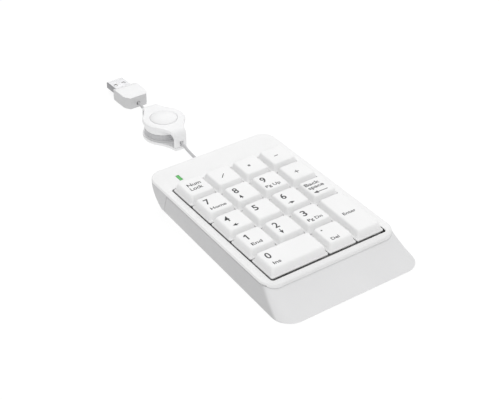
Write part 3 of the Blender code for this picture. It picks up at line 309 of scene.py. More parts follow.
KEYS = [
    # name, column, row from the front, columns, rows
    ("key_0", 0, 0, 2, 1),
    ("key_decimal", 2, 0, 1, 1),
    ("key_enter", 3, 0, 1, 2),
    ("key_1", 0, 1, 1, 1),
    ("key_2", 1, 1, 1, 1),
    ("key_3", 2, 1, 1, 1),
    ("key_4", 0, 2, 1, 1),
    ("key_5", 1, 2, 1, 1),
    ("key_6", 2, 2, 1, 1),
    ("key_backspace", 3, 2, 1, 1),
    ("key_7", 0, 3, 1, 1),
    ("key_8", 1, 3, 1, 1),
    ("key_9", 2, 3, 1, 1),
    ("key_plus", 3, 3, 1, 1),
    ("key_num_lock", 0, 4, 1, 1),
    ("key_divide", 1, 4, 1, 1),
    ("key_multiply", 2, 4, 1, 1),
    ("key_minus", 3, 4, 1, 1),
]


# ------------------------------------------------------------ mesh helpers
PARTS = bpy.data.collections.new("building")
CUTTERS = PARTS
scene.collection.children.link(PARTS)
WHITE = SKIRT = None


def new_object(name, mesh, paint=None, parent=None, at=(0, 0, 0), cutter=False):
    made = bpy.data.objects.new(name, mesh)
    (CUTTERS if cutter else PARTS).objects.link(made)
    if cutter:
        made.hide_render = True
        made.display_type = "WIRE"
    if paint is not None and not made.data.materials:
        made.data.materials.append(paint)
    made.parent = parent
    made.location = Vector(at) * MM
    return made


def new_mesh(name, bm, smooth=False):
    bmesh.ops.recalc_face_normals(bm, faces=bm.faces)
    mesh = bpy.data.meshes.new(name)
    bm.to_mesh(mesh)
    bm.free()
    if smooth:
        mesh.shade_smooth()
        mesh.set_sharp_from_angle(angle=math.radians(35))
    return mesh


def add_box(bm, low, high):
    size = [h - l for l, h in zip(low, high)]
    middle = [(h + l) / 2 for l, h in zip(low, high)]
    matrix = Matrix.Translation(Vector(middle) * MM) @ Matrix.Diagonal(
        (size[0] * MM, size[1] * MM, size[2] * MM, 1)
    )
    bmesh.ops.create_cube(bm, size=1.0, matrix=matrix)


def add_cylinder(bm, at, axis, low, high, radius, segments=16, top_radius=None):
    """A cylinder about a line through at along X, Y or Z, from low to high on that axis."""
    turn = {
        "Z": Matrix.Identity(4),
        "Y": Matrix.Rotation(-math.pi / 2, 4, "X"),
        "X": Matrix.Rotation(math.pi / 2, 4, "Y"),
    }[axis]
    place = list(at)
    place["XYZ".index(axis)] = (low + high) / 2
    bmesh.ops.create_cone(
        bm,
        cap_ends=True,
        segments=segments,
        radius1=radius * MM,
        radius2=(radius if top_radius is None else top_radius) * MM,
        depth=(high - low) * MM,
        matrix=Matrix.Translation(Vector(place) * MM) @ turn,
    )


def add_turned(bm, at, profile, segments):
    """A closed shape of revolution about a vertical line; the profile runs from the bottom up."""
    rings = [
        [
            bm.verts.new(
                Vector((at[0] + r * math.cos(2 * math.pi * i / segments), at[1] + r * math.sin(2 * math.pi * i / segments), h)) * MM
            )
            for i in range(segments)
        ]
        for r, h in profile
    ]
    for low, high in zip(rings, rings[1:]):
        for i in range(segments):
            j = (i + 1) % segments
            bm.faces.new((low[i], low[j], high[j], high[i]))
    bm.faces.new(rings[0][::-1])
    bm.faces.new(rings[-1])


def box(name, low, high, paint=None, parent=None, at=(0, 0, 0), cutter=False):
    bm = bmesh.new()
    add_box(bm, low, high)
    return new_object(name, new_mesh(name, bm), paint, parent, at, cutter)


def prism(name, outline, low, high, paint=None, parent=None, at=(0, 0, 0), cutter=False):
    """A flat outline (mm) extruded from height low to height high."""
    bm = bmesh.new()
    face = bm.faces.new([bm.verts.new(Vector((x, y, low)) * MM) for x, y in outline])
    grown = bmesh.ops.extrude_face_region(bm, geom=[face])
    lifted = [v for v in grown["geom"] if isinstance(v, bmesh.types.BMVert)]
    bmesh.ops.translate(bm, vec=Vector((0, 0, high - low)) * MM, verts=lifted)
    return new_object(name, new_mesh(name, bm), paint, parent, at, cutter)


def side_prism(name, outline, x_low, x_high, cutter=True):
    """An outline in the Y-Z plane (mm) extruded along X."""
    bm = bmesh.new()
    face = bm.faces.new([bm.verts.new(Vector((x_low, y, z)) * MM) for y, z in outline])
    grown = bmesh.ops.extrude_face_region(bm, geom=[face])
    lifted = [v for v in grown["geom"] if isinstance(v, bmesh.types.BMVert)]
    bmesh.ops.translate(bm, vec=Vector((x_high - x_low, 0, 0)) * MM, verts=lifted)
    return new_object(name, new_mesh(name, bm), cutter=cutter)


def turned(name, profile, paint=None, parent=None, at=(0, 0, 0), steps=24, axis="Z", cutter=False):
    """A profile of (radius, height) points, from the top down the outer side, turned about the axis."""
    bm = bmesh.new()
    points = [bm.verts.new(Vector((r, 0, h)) * MM) for r, h in profile]
    closed = profile[0][0] > 0 and profile[-1][0] > 0
    for first, second in zip(points, points[1:] + ([points[0]] if closed else [])):
        bm.edges.new((first, second))
    mesh = bpy.data.meshes.new(name)
    bm.to_mesh(mesh)
    bm.free()
    made = new_object(name, mesh, paint, parent, at, cutter)
    screw = made.modifiers.new("turn", "SCREW")
    screw.steps = screw.render_steps = steps
    screw.use_merge_vertices = True
    screw.merge_threshold = 0.00001
    screw.use_smooth_shade = True
    if axis == "Y":
        made.rotation_euler = (-math.pi / 2, 0, 0)
    return made


def loft(name, rings, paint=None, cutter=False):
    """A closed skin through rings of equally many points (metres), lowest ring first."""
    bm = bmesh.new()
    rows = [[bm.verts.new(p) for p in ring] for ring in rings]
    count = len(rows[0])
    for low, high in zip(rows, rows[1:]):
        for i in range(count):
            j = (i + 1) % count
            bm.faces.new((low[i], low[j], high[j], high[i]))
    bm.faces.new(rows[0][::-1])
    bm.faces.new(rows[-1])
    return new_object(name, new_mesh(name, bm), paint, cutter=cutter)


def boolean(target, other, operation="DIFFERENCE"):
    modifier = target.modifiers.new(operation.lower(), "BOOLEAN")
    modifier.operation = operation
    modifier.solver = "EXACT"
    modifier.object = other


def smooth_route(knots, count):
    """Evenly spaced points on a Catmull-Rom curve through the knots."""
    ends = [2 * Vector(knots[0]) - Vector(knots[1])] + [Vector(k) for k in knots]
    ends.append(2 * ends[-1] - ends[-2])
    fine = []
    for k in range(len(knots) - 1):
        p0, p1, p2, p3 = ends[k : k + 4]
        for step in range(24):
            t = step / 24
            fine.append(
                0.5
                * (
                    2 * p1
                    + (p2 - p0) * t
                    + (2 * p0 - 5 * p1 + 4 * p2 - p3) * t * t
                    + (3 * p1 - p0 - 3 * p2 + p3) * t**3
                )
            )
    fine.append(ends[-2])
    along = [0.0]
    for first, second in zip(fine, fine[1:]):
        along.append(along[-1] + (second - first).length)
    made, k = [], 0
    for i in range(count):
        goal = along[-1] * i / (count - 1)
        while k < len(fine) - 2 and along[k + 1] < goal:
            k += 1
        share = (goal - along[k]) / (along[k + 1] - along[k])
        made.append(tuple(fine[k].lerp(fine[k + 1], share)))
    return made


def plane_point(a, b, w):
    """A point given in the key plane's coordinates (mm), in metres."""
    return (
        Vector(
            (
                a,
                b * math.cos(TILT) - w * math.sin(TILT) + PLANE_Y,
                PLANE_Z + b * math.sin(TILT) + w * math.cos(TILT),
            )
        )
        * MM
    )


def plane_line(b_low, b_high, w):
    """(y, z) ends (mm) of a line in the key plane at depth w."""
    return [tuple(plane_point(0, b, w)[1:]) for b in (b_low, b_high)]


key_plane = bpy.data.objects.new("key_plane_frame", None)
PARTS.objects.link(key_plane)
key_plane.location = plane_point(0, 0, 0)
key_plane.rotation_euler = (TILT, 0, 0)


# ------------------------------------------------------------ case outlines
def rounded_quad(front, rear, half_front, half_rear, radii, inset, seg=14, subs=(12, 30, 12, 30)):
    """Points round a tapered rectangle with round corners, and how far to the rear each lies (0 to 1)."""
    slope = (half_rear - half_front) / (rear - front)
    length = math.hypot(1, slope)
    y0, y1 = front + inset, rear - inset
    h0 = half_front + slope * (y0 - front) - inset * length
    h1 = half_front + slope * (y1 - front) - inset * length
    corners = [(-h0, y0), (h0, y0), (h1, y1), (-h1, y1)]
    radii = [max(r - inset, 0.6) for r in radii]
    arcs = []
    for k in range(4):
        here, before, after = (Vector(corners[i % 4]) for i in (k, k - 1, k + 1))
        back, on = (before - here).normalized(), (after - here).normalized()
        angle = back.angle(on)
        reach = radii[k] / math.tan(angle / 2)
        centre = here + (back + on).normalized() * (radii[k] / math.sin(angle / 2))
        start, end = here + back * reach - centre, here + on * reach - centre
        a0 = math.atan2(start.y, start.x)
        a1 = math.atan2(end.y, end.x)
        while a1 < a0:
            a1 += 2 * math.pi
        arcs.append(
            [
                centre
                + radii[k]
                * Vector(
                    (math.cos(a0 + (a1 - a0) * i / seg), math.sin(a0 + (a1 - a0) * i / seg))
                )
                for i in range(seg + 1)
            ]
        )
    rearness = [0.0, 0.0, 1.0, 1.0]
    points, share = [], []
    for k in range(4):
        nxt = (k + 1) % 4
        for p in arcs[k]:
            points.append(p)
            share.append(rearness[k])
        for i in range(1, subs[k]):
            t = i / subs[k]
            points.append(arcs[k][-1].lerp(arcs[nxt][0], t))
            share.append(rearness[k] * (1 - t) + rearness[nxt] * t)
    return points, share


def base_ring(z, inset):
    points, _ = rounded_quad(
        BASE_FRONT, BASE_REAR, BASE_HALF_FRONT, BASE_HALF_REAR,
        (BASE_R_FRONT, BASE_R_FRONT, BASE_R_REAR, BASE_R_REAR), inset,
    )
    return [Vector((p.x, p.y, z)) * MM for p in points]


def frame_ring(w, inset):
    points, _ = rounded_quad(
        FRAME_FRONT, FRAME_REAR, FRAME_HALF_FRONT, FRAME_HALF_REAR, (FRAME_R_FRONT, FRAME_R_FRONT, FRAME_R_REAR, FRAME_R_REAR), inset
    )
    return [plane_point(p.x, p.y, w - lip_drop(p.y)) for p in points]


def lip_drop(b):
    """How far the frame has bent down at b, with a short curve where the bend starts."""
    reach = LIP_START - b
    if reach <= -0.6:
        return 0.0
    if reach < 0.6:
        return LIP_SLOPE * (reach + 0.6) ** 2 / 2.4
    return LIP_SLOPE * reach


def flare(t, rearness):
    """How far the wall has come in at a share t of its height: hollow in front, upright behind."""
    front = t + 0.20 * t * (1 - t) * 1.6
    rear = t + 0.9 * t * (1 - t)
    return front + (rear - front) * rearness


def wall_rings(low_z, high_w, inset, steps):
    _, share = rounded_quad(
        FRAME_FRONT, FRAME_REAR, FRAME_HALF_FRONT, FRAME_HALF_REAR, (FRAME_R_FRONT, FRAME_R_FRONT, FRAME_R_REAR, FRAME_R_REAR), inset
    )
    low, high = base_ring(low_z, inset), frame_ring(high_w, inset)
    rings = []
    for t in steps:
        ring = []
        for p, q, s in zip(low, high, share):
            g = flare(t, s)
            ring.append(Vector((p.x + (q.x - p.x) * g, p.y + (q.y - p.y) * g, p.z + (q.z - p.z) * t)))
        rings.append(ring)
    return rings


WALL_LOW = 2.0
STEPS = [i / 18 for i in range(19)]


def case_skin(name):
    rings = [base_ring(CASE_BOTTOM, 1.1), base_ring(CASE_BOTTOM + 0.08, 0.75), base_ring(CASE_BOTTOM + 0.3, 0.35), base_ring(CASE_BOTTOM + 0.6, 0.1)]
    rings += wall_rings(WALL_LOW, -1.6, 0.0, STEPS)
    rings += [frame_ring(w, i) for w, i in ((-1.1, 0.0), (-0.75, 0.01), (-0.5, 0.06), (-0.3, 0.16), (-0.14, 0.32), (-0.04, 0.52), (0.0, 0.75), (0.0, 1.1), (0.0, 1.6), (0.0, 2.1), (0.0, 2.6), (0.0, 3.1), (0.0, 3.5), (0.0, 3.9))]
    return loft(name, rings)


def case_cavity(name, low_z, high_w, extra_top=None):
    rings = []
    if low_z < WALL_LOW:
        rings.append(base_ring(low_z, WALL))
    rings += wall_rings(max(low_z, WALL_LOW), -1.6, WALL, STEPS)
    if extra_top is not None:
        rings.append(frame_ring(extra_top, WALL))
    else:
        rings[-1] = frame_ring(high_w, WALL)
    return loft(name, rings, cutter=True)


def split_y(z, offset):
    share = (z - SPLIT_Z_LOW) / (SPLIT_Z_HIGH - SPLIT_Z_LOW)
    return SPLIT_Y_LOW + (SPLIT_Y_HIGH - SPLIT_Y_LOW) * share + offset


def mm_pair(b, w):
    p = plane_point(0, b, w) / MM
    return (p.y, p.z)


def parting(name, w, offset, below):
    """The space below and ahead of the parting surface, or the rest."""
    fall = LIP_SLOPE * 31.2
    front, bend = mm_pair(LIP_START - 31.2, w - fall), mm_pair(LIP_START, w)
    # where the line at depth w meets the slanting joint
    b = 45.0
    for _ in range(40):
        y, z = mm_pair(b, w)
        b += split_y(z, offset) - y
    meet = mm_pair(b, w)
    low = (split_y(-12, offset), -12)
    if below:
        outline = [front, bend, meet, low, (front[0], -12)]
    else:
        outline = [front, (front[0], 60), (120, 60), (120, -12), low, meet, bend]
    return side_prism(name, outline, -80, 80)


# ------------------------------------------------------------ from working meshes to pieces
LAYER = bpy.data.collections.new("keypad_finish")
scene.collection.children.link(LAYER)


def settle(source, name, paints, body, nodes=(), sharp=32.0, pick=None):
    """The evaluated mesh of a working object as a finished piece in the row frame, on a CAD body."""
    bpy.context.view_layer.update()
    graph = bpy.context.evaluated_depsgraph_get()
    mesh = bpy.data.meshes.new_from_object(source.evaluated_get(graph), depsgraph=graph)
    mesh.transform(source.matrix_world)
    bm = bmesh.new()
    bm.from_mesh(mesh)
    bmesh.ops.remove_doubles(bm, verts=bm.verts, dist=1e-7)
    bmesh.ops.dissolve_degenerate(bm, dist=1e-7, edges=bm.edges)
    bm.to_mesh(mesh)
    bm.free()
    mesh.name = name
    mesh.materials.clear()
    for paint in paints:
        mesh.materials.append(paint)
    for face in mesh.polygons:
        face.material_index = pick(face.center, face.normal) if pick else 0
    mesh.shade_smooth()
    mesh.set_sharp_from_angle(angle=math.radians(sharp))
    made = bpy.data.objects.new(name, mesh)
    LAYER.objects.link(made)
    weighted = made.modifiers.new("weighted_normals", "WEIGHTED_NORMAL")
    weighted.keep_sharp = True
    weighted.weight = 60
    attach(made, body)
    if nodes:
        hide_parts(*nodes)
    return made


def in_key_plane(point):
    """(a, b, w) in mm of a point of the row frame in metres."""
    x, y, z = (c / MM for c in point)
    y, z = y - PLANE_Y, z - PLANE_Z
    c, s = math.cos(TILT), math.sin(TILT)
    return x, y * c + z * s, -y * s + z * c


# ------------------------------------------------------------ top case
top_case = case_skin("work_top_case")
boolean(top_case, case_cavity("top_cavity", -1.0, -1.8))
boolean(top_case, parting("cut_below_parting", -RIM_DEPTH, 0.15, True))
well_a, well_b, well_front = FIELD_A + WELL_MARGIN, FIELD_B + WELL_MARGIN, FIELD_B + WELL_MARGIN_FRONT
tub_outline, _ = rounded_quad(
    -well_front - WELL_WALL_FRONT, well_b + WELL_WALL, well_a + WELL_WALL, well_a + WELL_WALL, (3.6,) * 4, 0.0, seg=10, subs=(1, 1, 1, 1)
)
boolean(top_case, prism("well_tub", tub_outline, WELL_FLOOR_UNDER, -1.0, parent=key_plane, cutter=True), "UNION")


def well_ring(grow, w):
    points, _ = rounded_quad(-well_front - grow, well_b + grow, well_a + grow, well_a + grow, (1.6 + grow,) * 4, 0.0, seg=10, subs=(4, 4, 4, 4))
    return [plane_point(p.x, p.y, w) for p in points]


boolean(top_case, loft("well_opening", [well_ring(g, w) for g, w in ((0.0, WELL_FLOOR), (0.0, -0.35), (0.04, -0.2), (0.12, -0.08), (0.24, 0.0), (0.5, 0.12), (0.5, 3.0))], cutter=True))


def key_centre(column, row, columns, rows):
    return (-FIELD_A + (column + columns / 2) * PITCH, -FIELD_B + (row + rows / 2) * PITCH)


CENTRES = {name: key_centre(*cell) for name, *cell in KEYS}
bm = bmesh.new()
for a, b in CENTRES.values():
    outer = STEM_GUIDE_HALF + 0.9
    add_box(bm, (a - outer, b - outer, -6.0), (a + outer, b + outer, -4.9))
for a, b in CASE_SCREWS:
    add_cylinder(bm, (a, b, 0), "Z", -11.0, -5.0, 2.5, 24)
boolean(top_case, new_object("stem_guides_and_bosses", new_mesh("guides", bm), parent=key_plane, cutter=True), "UNION")
bm = bmesh.new()
add_box(bm, (-well_a + 1.3, -well_front + 1.9, WELL_FLOOR - 0.12), (well_a - 1.3, well_b - 1.3, WELL_FLOOR + 1.0))
boolean(top_case, new_object("well_plate_recess", new_mesh("plate_recess", bm), parent=key_plane, cutter=True))
bm = bmesh.new()
for a, b in CENTRES.values():
    add_box(bm, (a - STEM_GUIDE_HALF, b - STEM_GUIDE_HALF, -7), (a + STEM_GUIDE_HALF, b + STEM_GUIDE_HALF, -3))
for a, b in CASE_SCREWS:
    add_cylinder(bm, (a, b, 0), "Z", -12.0, -6.6, 1.4, 20)
add_box(bm, (LED_A - 1.15, LED_B - 2.75, -3), (LED_A + 1.15, LED_B + 2.75, 1))
boolean(top_case, new_object("guide_holes", new_mesh("holes", bm), parent=key_plane, cutter=True))


def wire_frame(name):
    a, b = CENTRES[name]
    if name == "key_0":
        return lambda s, t, w: (a + s, b + t, w)
    return lambda s, t, w: (a + t, b + s, w)


BAR_T, PIN_T, BAR_S = -4.9, 3.1, 12.0
bm, notch = bmesh.new(), bmesh.new()
for name in ("key_0", "key_enter"):
    at = wire_frame(name)
    for side in (-1, 1):
        s0, s1 = sorted((side * (BAR_S + 0.9), side * (BAR_S + 2.1)))
        p, q = at(s0, PIN_T - 1.5, WELL_FLOOR - 0.4), at(s1, PIN_T + 1.5, -1.0)
        add_box(bm, [min(x) for x in zip(p, q)], [max(x) for x in zip(p, q)])
        p, q = at(s0 - 0.5, PIN_T - 0.6, WIRE_PIN_W - 0.6), at(s1 + 0.5, PIN_T + 0.6, 0)
        add_box(notch, [min(x) for x in zip(p, q)], [max(x) for x in zip(p, q)])
boolean(top_case, new_object("wire_posts", new_mesh("posts", bm), parent=key_plane, cutter=True), "UNION")
boolean(top_case, new_object("wire_notches", new_mesh("notches", notch), parent=key_plane, cutter=True))
bm = bmesh.new()
add_cylinder(bm, (OUTLET_X, 0, OUTLET_Z), "Y", 63.6, OUTLET_FACE, 3.9, 48)
boolean(top_case, new_object("outlet_pad", new_mesh("pad", bm), cutter=True), "UNION")
bm = bmesh.new()
add_cylinder(bm, (OUTLET_X, 0, OUTLET_Z), "Y", 60.0, 72.0, 2.3, 48)
boolean(top_case, new_object("outlet_hole", new_mesh("outlet", bm), cutter=True))


def well_pick(centre, normal):
    a, b, w = in_key_plane(centre)
    # Painted shade: faces more than 1.3 mm below the frame's surface, at the rear end and along the sides, get the
    # darker rear-wrap copy.
    if w < -1.3 and (b > 46.0 or abs(a) > 42.0):
        return 3
    # Painted shadow: inside the well, the walls and a strip of floor along the border get the near-black colour; the
    # recessed floor under the keys and faces below the floor get the pale plate grey.
    inside = abs(a) < well_a + 0.05 and -well_front - 0.05 < b < well_b + 0.05 and w > WELL_FLOOR - 0.3
    if not inside or w > -0.3:
        return 0
    return 2 if w < WELL_FLOOR - 0.06 or abs(a) < well_a - 1.3 and -well_front + 1.9 < b < well_b - 1.3 else 1


settle(top_case, "top_case_finish", [M_TOP, M_WELL_SHADOW, M_PALE, M_WRAP_SHADE], "case", ["top_case"], pick=well_pick)

# ------------------------------------------------------------ bottom case
bottom_case = case_skin("work_bottom_case")
boolean(bottom_case, parting("cut_above_parting", -RIM_DEPTH - PART_GAP, -0.15, False))
boolean(bottom_case, case_cavity("bottom_cavity", FLOOR_TOP, None, extra_top=2.0))
boolean(bottom_case, loft("floor_plate", [base_ring(CASE_BOTTOM, WALL + 0.35), base_ring(FLOOR_TOP, WALL + 0.35)], cutter=True), "UNION")
bm = bmesh.new()
add_box(bm, (-38.4, -49.4, DECK_UNDER), (38.4, 48.6, DECK_TOP))
boolean(bottom_case, new_object("deck", new_mesh("deck", bm), parent=key_plane, cutter=True), "UNION")
bm = bmesh.new()
for a, b in CASE_SCREWS:
    add_cylinder(bm, (a, b, 0), "Z", -14.0 if b < 0 else -16.2, -11.6, 4.2, 32)
for a, b in CLAMP_SCREWS:
    add_cylinder(bm, (a, b, 0), "Z", -17.1, PCB_TOP - PCB_THICK - 0.2, 2.4, 24)
boolean(bottom_case, new_object("columns", new_mesh("columns", bm), parent=key_plane, cutter=True), "UNION")
bm = bmesh.new()
for a, b in CASE_SCREWS:
    add_cylinder(bm, (a, b, 0), "Z", -24.0, -12.85, 2.7, 40)
boolean(bottom_case, new_object("head_wells", new_mesh("head_wells", bm), parent=key_plane, cutter=True))
bm = bmesh.new()
for a, b in CASE_SCREWS:
    add_cylinder(bm, (a, b, 0), "Z", -13.6, -10.0, 1.5, 20)
for a, b in CLAMP_SCREWS:
    add_cylinder(bm, (a, b, 0), "Z", -15.6, -11.0, 1.1, 16)
boolean(bottom_case, new_object("screw_holes", new_mesh("screw_holes", bm), parent=key_plane, cutter=True))
FEET = {
    "foot_front_left": (-37.0, -57.5), "foot_front_right": (37.0, -57.5),
    "foot_rear_left": (-30.5, 55.0), "foot_rear_right": (30.5, 55.0),
}
bm = bmesh.new()
for x, y in FEET.values():
    add_cylinder(bm, (x, y, 0), "Z", -1.0, 1.9, 5.0, 48)
boolean(bottom_case, new_object("foot_recesses", new_mesh("recesses", bm), cutter=True))
settle(bottom_case, "bottom_case_finish", [M_SKIRT], "case", ["bottom_case"])

for name, (x, y) in FEET.items():
    foot = turned("work_" + name, [(0, 1.7), (4.5, 1.7), (4.7, 1.55), (4.7, 0.5), (4.62, 0.22), (4.4, 0.05), (4.1, 0.0), (3.2, 0.0), (3.1, 0.12), (0, 0.12)], at=(x, y, 0), steps=56)
    settle(foot, name + "_finish", [M_FOOT], "case", [name])

# ------------------------------------------------------------ keys
# how far each side is drawn in from the key's cell, height above the frame, corner radius
KEY_PROFILE = (
    (0.36, -0.45, 1.0), (0.31, -0.35, 1.1), (0.31, 0.0, 1.2), (0.36, 0.18, 1.25), (0.52, 0.36, 1.3), (0.76, 0.56, 1.35),
    (0.96, 0.85, 1.4), (1.12, 1.30, 1.45), (1.28, 1.85, 1.5), (1.43, 2.45, 1.55), (1.57, 3.05, 1.6), (1.70, 3.65, 1.7),
    (1.82, 4.05, 1.75), (1.95, 4.38, 1.75), (2.14, 4.63, 1.75), (2.40, 4.79, 1.7), (2.70, 4.87, 1.6), (3.00, 4.895, 1.5), (3.3, KEY_TOP, 1.4),
)


def key_skin(name, columns, rows):
    def ring(inset, w, radius):
        share = max(0.0, min(1.0, (w - 0.2) / 3.8))
        points, _ = rounded_quad(
            -rows * PITCH / 2 + inset + 0.2 * share, rows * PITCH / 2 - inset + 0.25 * share,
            columns * PITCH / 2 - inset, columns * PITCH / 2 - inset, (radius,) * 4, 0.0, seg=7, subs=(2, 2, 2, 2),
        )
        return [Vector((p.x, p.y, w)) * MM for p in points]

    inner = KEY_TOP - KEY_WALL
    outside = [ring(*step) for step in KEY_PROFILE]
    inside = [ring(i, w, r) for i, w, r in ((1.45, -0.45, 0.5), (1.45, 0.3, 0.5), (2.35, 1.2, 0.6), (2.9, inner, 0.6))]
    bm = bmesh.new()
    outer = [[bm.verts.new(p) for p in row] for row in outside]
    hollow = [[bm.verts.new(p) for p in row] for row in inside]
    count = len(outer[0])
    for rows_of, turn_over in ((outer, False), (hollow, True)):
        for low, high in zip(rows_of, rows_of[1:]):
            for i in range(count):
                j = (i + 1) % count
                quad = (low[i], low[j], high[j], high[i])
                bm.faces.new(quad[::-1] if turn_over else quad)
    for i in range(count):
        j = (i + 1) % count
        bm.faces.new((hollow[0][i], hollow[0][j], outer[0][j], outer[0][i]))
    bm.faces.new(outer[-1])
    bm.faces.new(hollow[-1][::-1])
    return new_mesh(name, bm)


bm = bmesh.new()
add_box(bm, (-STEM_HALF, -STEM_HALF, STEM_END), (STEM_HALF, STEM_HALF, KEY_TOP - 0.6))
stem_mesh = new_mesh("stem", bm)
for name, column, row, columns, rows in KEYS:
    a, b = CENTRES[name]
    key = new_object("work_" + name, key_skin("work_" + name, columns, rows), None, key_plane, (a, b, 0))
    boolean(key, new_object("stem_of_" + name, stem_mesh, parent=key_plane, at=(a, b, 0), cutter=True), "UNION")
    if name in ("key_0", "key_enter"):
        at = wire_frame(name)
        bm = bmesh.new()
        for side in (-1, 1):
            for edge in (-1, 1):
                s0, s1 = sorted((side * 6.6, side * 9.6))
                t0, t1 = sorted((BAR_T + edge * 0.7, BAR_T + edge * 1.5))
                p, q = at(s0, t0, -1.0), at(s1, t1, KEY_TOP - 0.6)
                low = [min(x) for x in zip(p, q)]
                high = [max(x) for x in zip(p, q)]
                add_box(bm, (low[0] - a, low[1] - b, low[2]), (high[0] - a, high[1] - b, high[2]))
        boolean(key, new_object("clips_of_" + name, new_mesh("clips", bm), parent=key_plane, at=(a, b, 0), cutter=True), "UNION")
    settle(key, name + "_finish", [M_KEY], name, [name], sharp=40.0)


# ------------------------------------------------------------ legends
def text_mesh(words, heavy=0.0):
    """The points and faces of a closed mesh of the words; each point's third number tells whether it lies on the top
    side.
    """
    curve = bpy.data.curves.new("words", "FONT")
    curve.body = words
    curve.size = 1.0
    curve.extrude = 0.01
    curve.offset = heavy
    curve.resolution_u = 5
    held = bpy.data.objects.new("words", curve)
    PARTS.objects.link(held)
    bpy.context.view_layer.update()
    graph = bpy.context.evaluated_depsgraph_get()
    mesh = bpy.data.meshes.new_from_object(held.evaluated_get(graph), depsgraph=graph)
    bpy.data.objects.remove(held, do_unlink=True)
    bm = bmesh.new()
    bm.from_mesh(mesh)
    bmesh.ops.remove_doubles(bm, verts=bm.verts, dist=1e-5)
    points = [(v.co.x, v.co.y, 1 if v.co.z > 0 else 0) for v in bm.verts]
    faces = [[v.index for v in f.verts] for f in bm.faces]
    bm.free()
    bpy.data.meshes.remove(mesh)
    return points, faces


CAP = max(p[1] for p in text_mesh("H")[0])
LEGEND_LOW, LEGEND_HIGH = KEY_TOP - 0.06, KEY_TOP + 0.018


def add_words(bm, words, u0, u1, v_mid, cap):
    points, faces = text_mesh(words, 0.016)
    x0, x1 = min(p[0] for p in points), max(p[0] for p in points)
    verts = [
        bm.verts.new((u0 + (x - x0) / (x1 - x0) * (u1 - u0), v_mid - cap / 2 + y / CAP * cap, LEGEND_HIGH if top else LEGEND_LOW))
        for x, y, top in points
    ]
    for face in faces:
        try:
            bm.faces.new([verts[i] for i in face])
        except ValueError:
            pass


def add_shape(bm, outline):
    low = [bm.verts.new((x, y, LEGEND_LOW)) for x, y in outline]
    high = [bm.verts.new((x, y, LEGEND_HIGH)) for x, y in outline]
    bm.faces.new(low[::-1])
    bm.faces.new(high)
    for i in range(len(low)):
        j = (i + 1) % len(low)
        bm.faces.new((low[i], low[j], high[j], high[i]))


def add_arrow(bm, tail, tip, head=2.5, half=1.2, line=0.24):
    t, h = Vector(tail), Vector(tip)
    along = (h - t).normalized()
    side = Vector((-along.y, along.x))
    neck = h - along * head
    back = h - along * (head + 0.25)
    add_shape(bm, [tuple(p) for p in (t - side * line, neck - side * line, back - side * half, h, back + side * half, neck + side * line, t + side * line)])


def add_bar(bm, start, end, half):
    t, h = Vector(start), Vector(end)
    along = (h - t).normalized()
    side = Vector((-along.y, along.x)) * half
    add_shape(bm, [tuple(p) for p in (t - side, h - side, h + side, t + side)])


def dot(bm, u, v, r):
    add_shape(bm, [(u + r * math.cos(math.pi * i / 10), v + r * math.sin(math.pi * i / 10)) for i in range(20)])


DIGIT = dict(u0=4.8, u1=7.8, v_mid=12.3, cap=4.5)
SUB = 2.15


def digit(words, u0=4.75, u1=7.75):
    return lambda bm: add_words(bm, words, u0, u1, 12.3, 4.5)


def words(text, u0, u1, v_mid, cap=SUB):
    return lambda bm: add_words(bm, text, u0, u1, v_mid, cap)


def arrow(tail, tip, **kw):
    return lambda bm: add_arrow(bm, tail, tip, **kw)


LEGENDS = {
    "key_0": (digit("0"), words("Ins", 5.0, 9.7, 5.7)),
    "key_1": (lambda bm: add_shape(bm, [(5.84, 10.05), (6.72, 10.05), (6.72, 14.55), (5.98, 14.55), (4.80, 13.68), (4.80, 12.78), (5.84, 13.50)]), words("End", 4.7, 11.5, 5.7)),
    "key_2": (digit("2"), arrow((5.8, 8.4), (5.8, 4.2))),
    "key_3": (digit("3"), words("Pg Dn", 4.1, 13.7, 5.7)),
    "key_4": (digit("4"), arrow((9.5, 5.6), (5.8, 5.6))),
    "key_5": (digit("5"),),
    "key_6": (digit("6"), arrow((4.9, 5.4), (9.2, 5.4))),
    "key_7": (digit("7"), words("Home", 4.3, 14.4, 5.7)),
    "key_8": (digit("8"), arrow((5.9, 4.2), (5.9, 7.9))),
    "key_9": (digit("9"), words("Pg Up", 3.6, 13.3, 5.7)),
    "key_decimal": (lambda bm: dot(bm, 4.9, 13.8, 0.5), words("Del", 4.7, 9.9, 5.1)),
    "key_enter": (words("Enter", 4.6, 13.2, 18.7),),
    "key_backspace": (words("Back", 3.2, 13.1, 13.4, 2.5), words("space", 3.3, 13.8, 10.1, 2.5), arrow((13.2, 5.1), (3.6, 5.3), head=2.8, half=1.2)),
    "key_num_lock": (words("Num", 5.2, 13.8, 11.7, 2.6), words("Lock", 4.9, 12.9, 7.8, 2.6)),
    "key_divide": (lambda bm: add_bar(bm, (7.3, 7.8), (10.3, 10.9), 0.24),),
    "key_multiply": tuple(
        (lambda bm, q=q: add_bar(bm, (8.1 - 0.95 * math.cos(q), 9.4 - 0.95 * math.sin(q)), (8.1 + 0.95 * math.cos(q), 9.4 + 0.95 * math.sin(q)), 0.22))
        for q in (math.pi / 2,)
    ),
    "key_minus": (lambda bm: add_bar(bm, (6.8, 9.25), (9.5, 9.25), 0.26),),
    "key_plus": (),
}


def star(bm, u, v, r, half):
    points = []
    for i in range(6):
        q = math.pi / 2 + math.pi / 3 * i
        along, side = Vector((math.cos(q), math.sin(q))), Vector((-math.sin(q), math.cos(q)))
        points += [Vector((u, v)) + along * r - side * half, Vector((u, v)) + along * r + side * half]
        points.append(Vector((u, v)) + Vector((math.cos(q + math.pi / 6), math.sin(q + math.pi / 6))) * half * 1.75)
    add_shape(bm, [tuple(p) for p in points])


def cross(bm, u, v, r, half):
    add_shape(bm, [(u + x, v + y) for x, y in (
        (-half, -r), (half, -r), (half, -half), (r, -half), (r, half), (half, half), (half, r), (-half, r), (-half, half), (-r, half), (-r, -half), (-half, -half))])


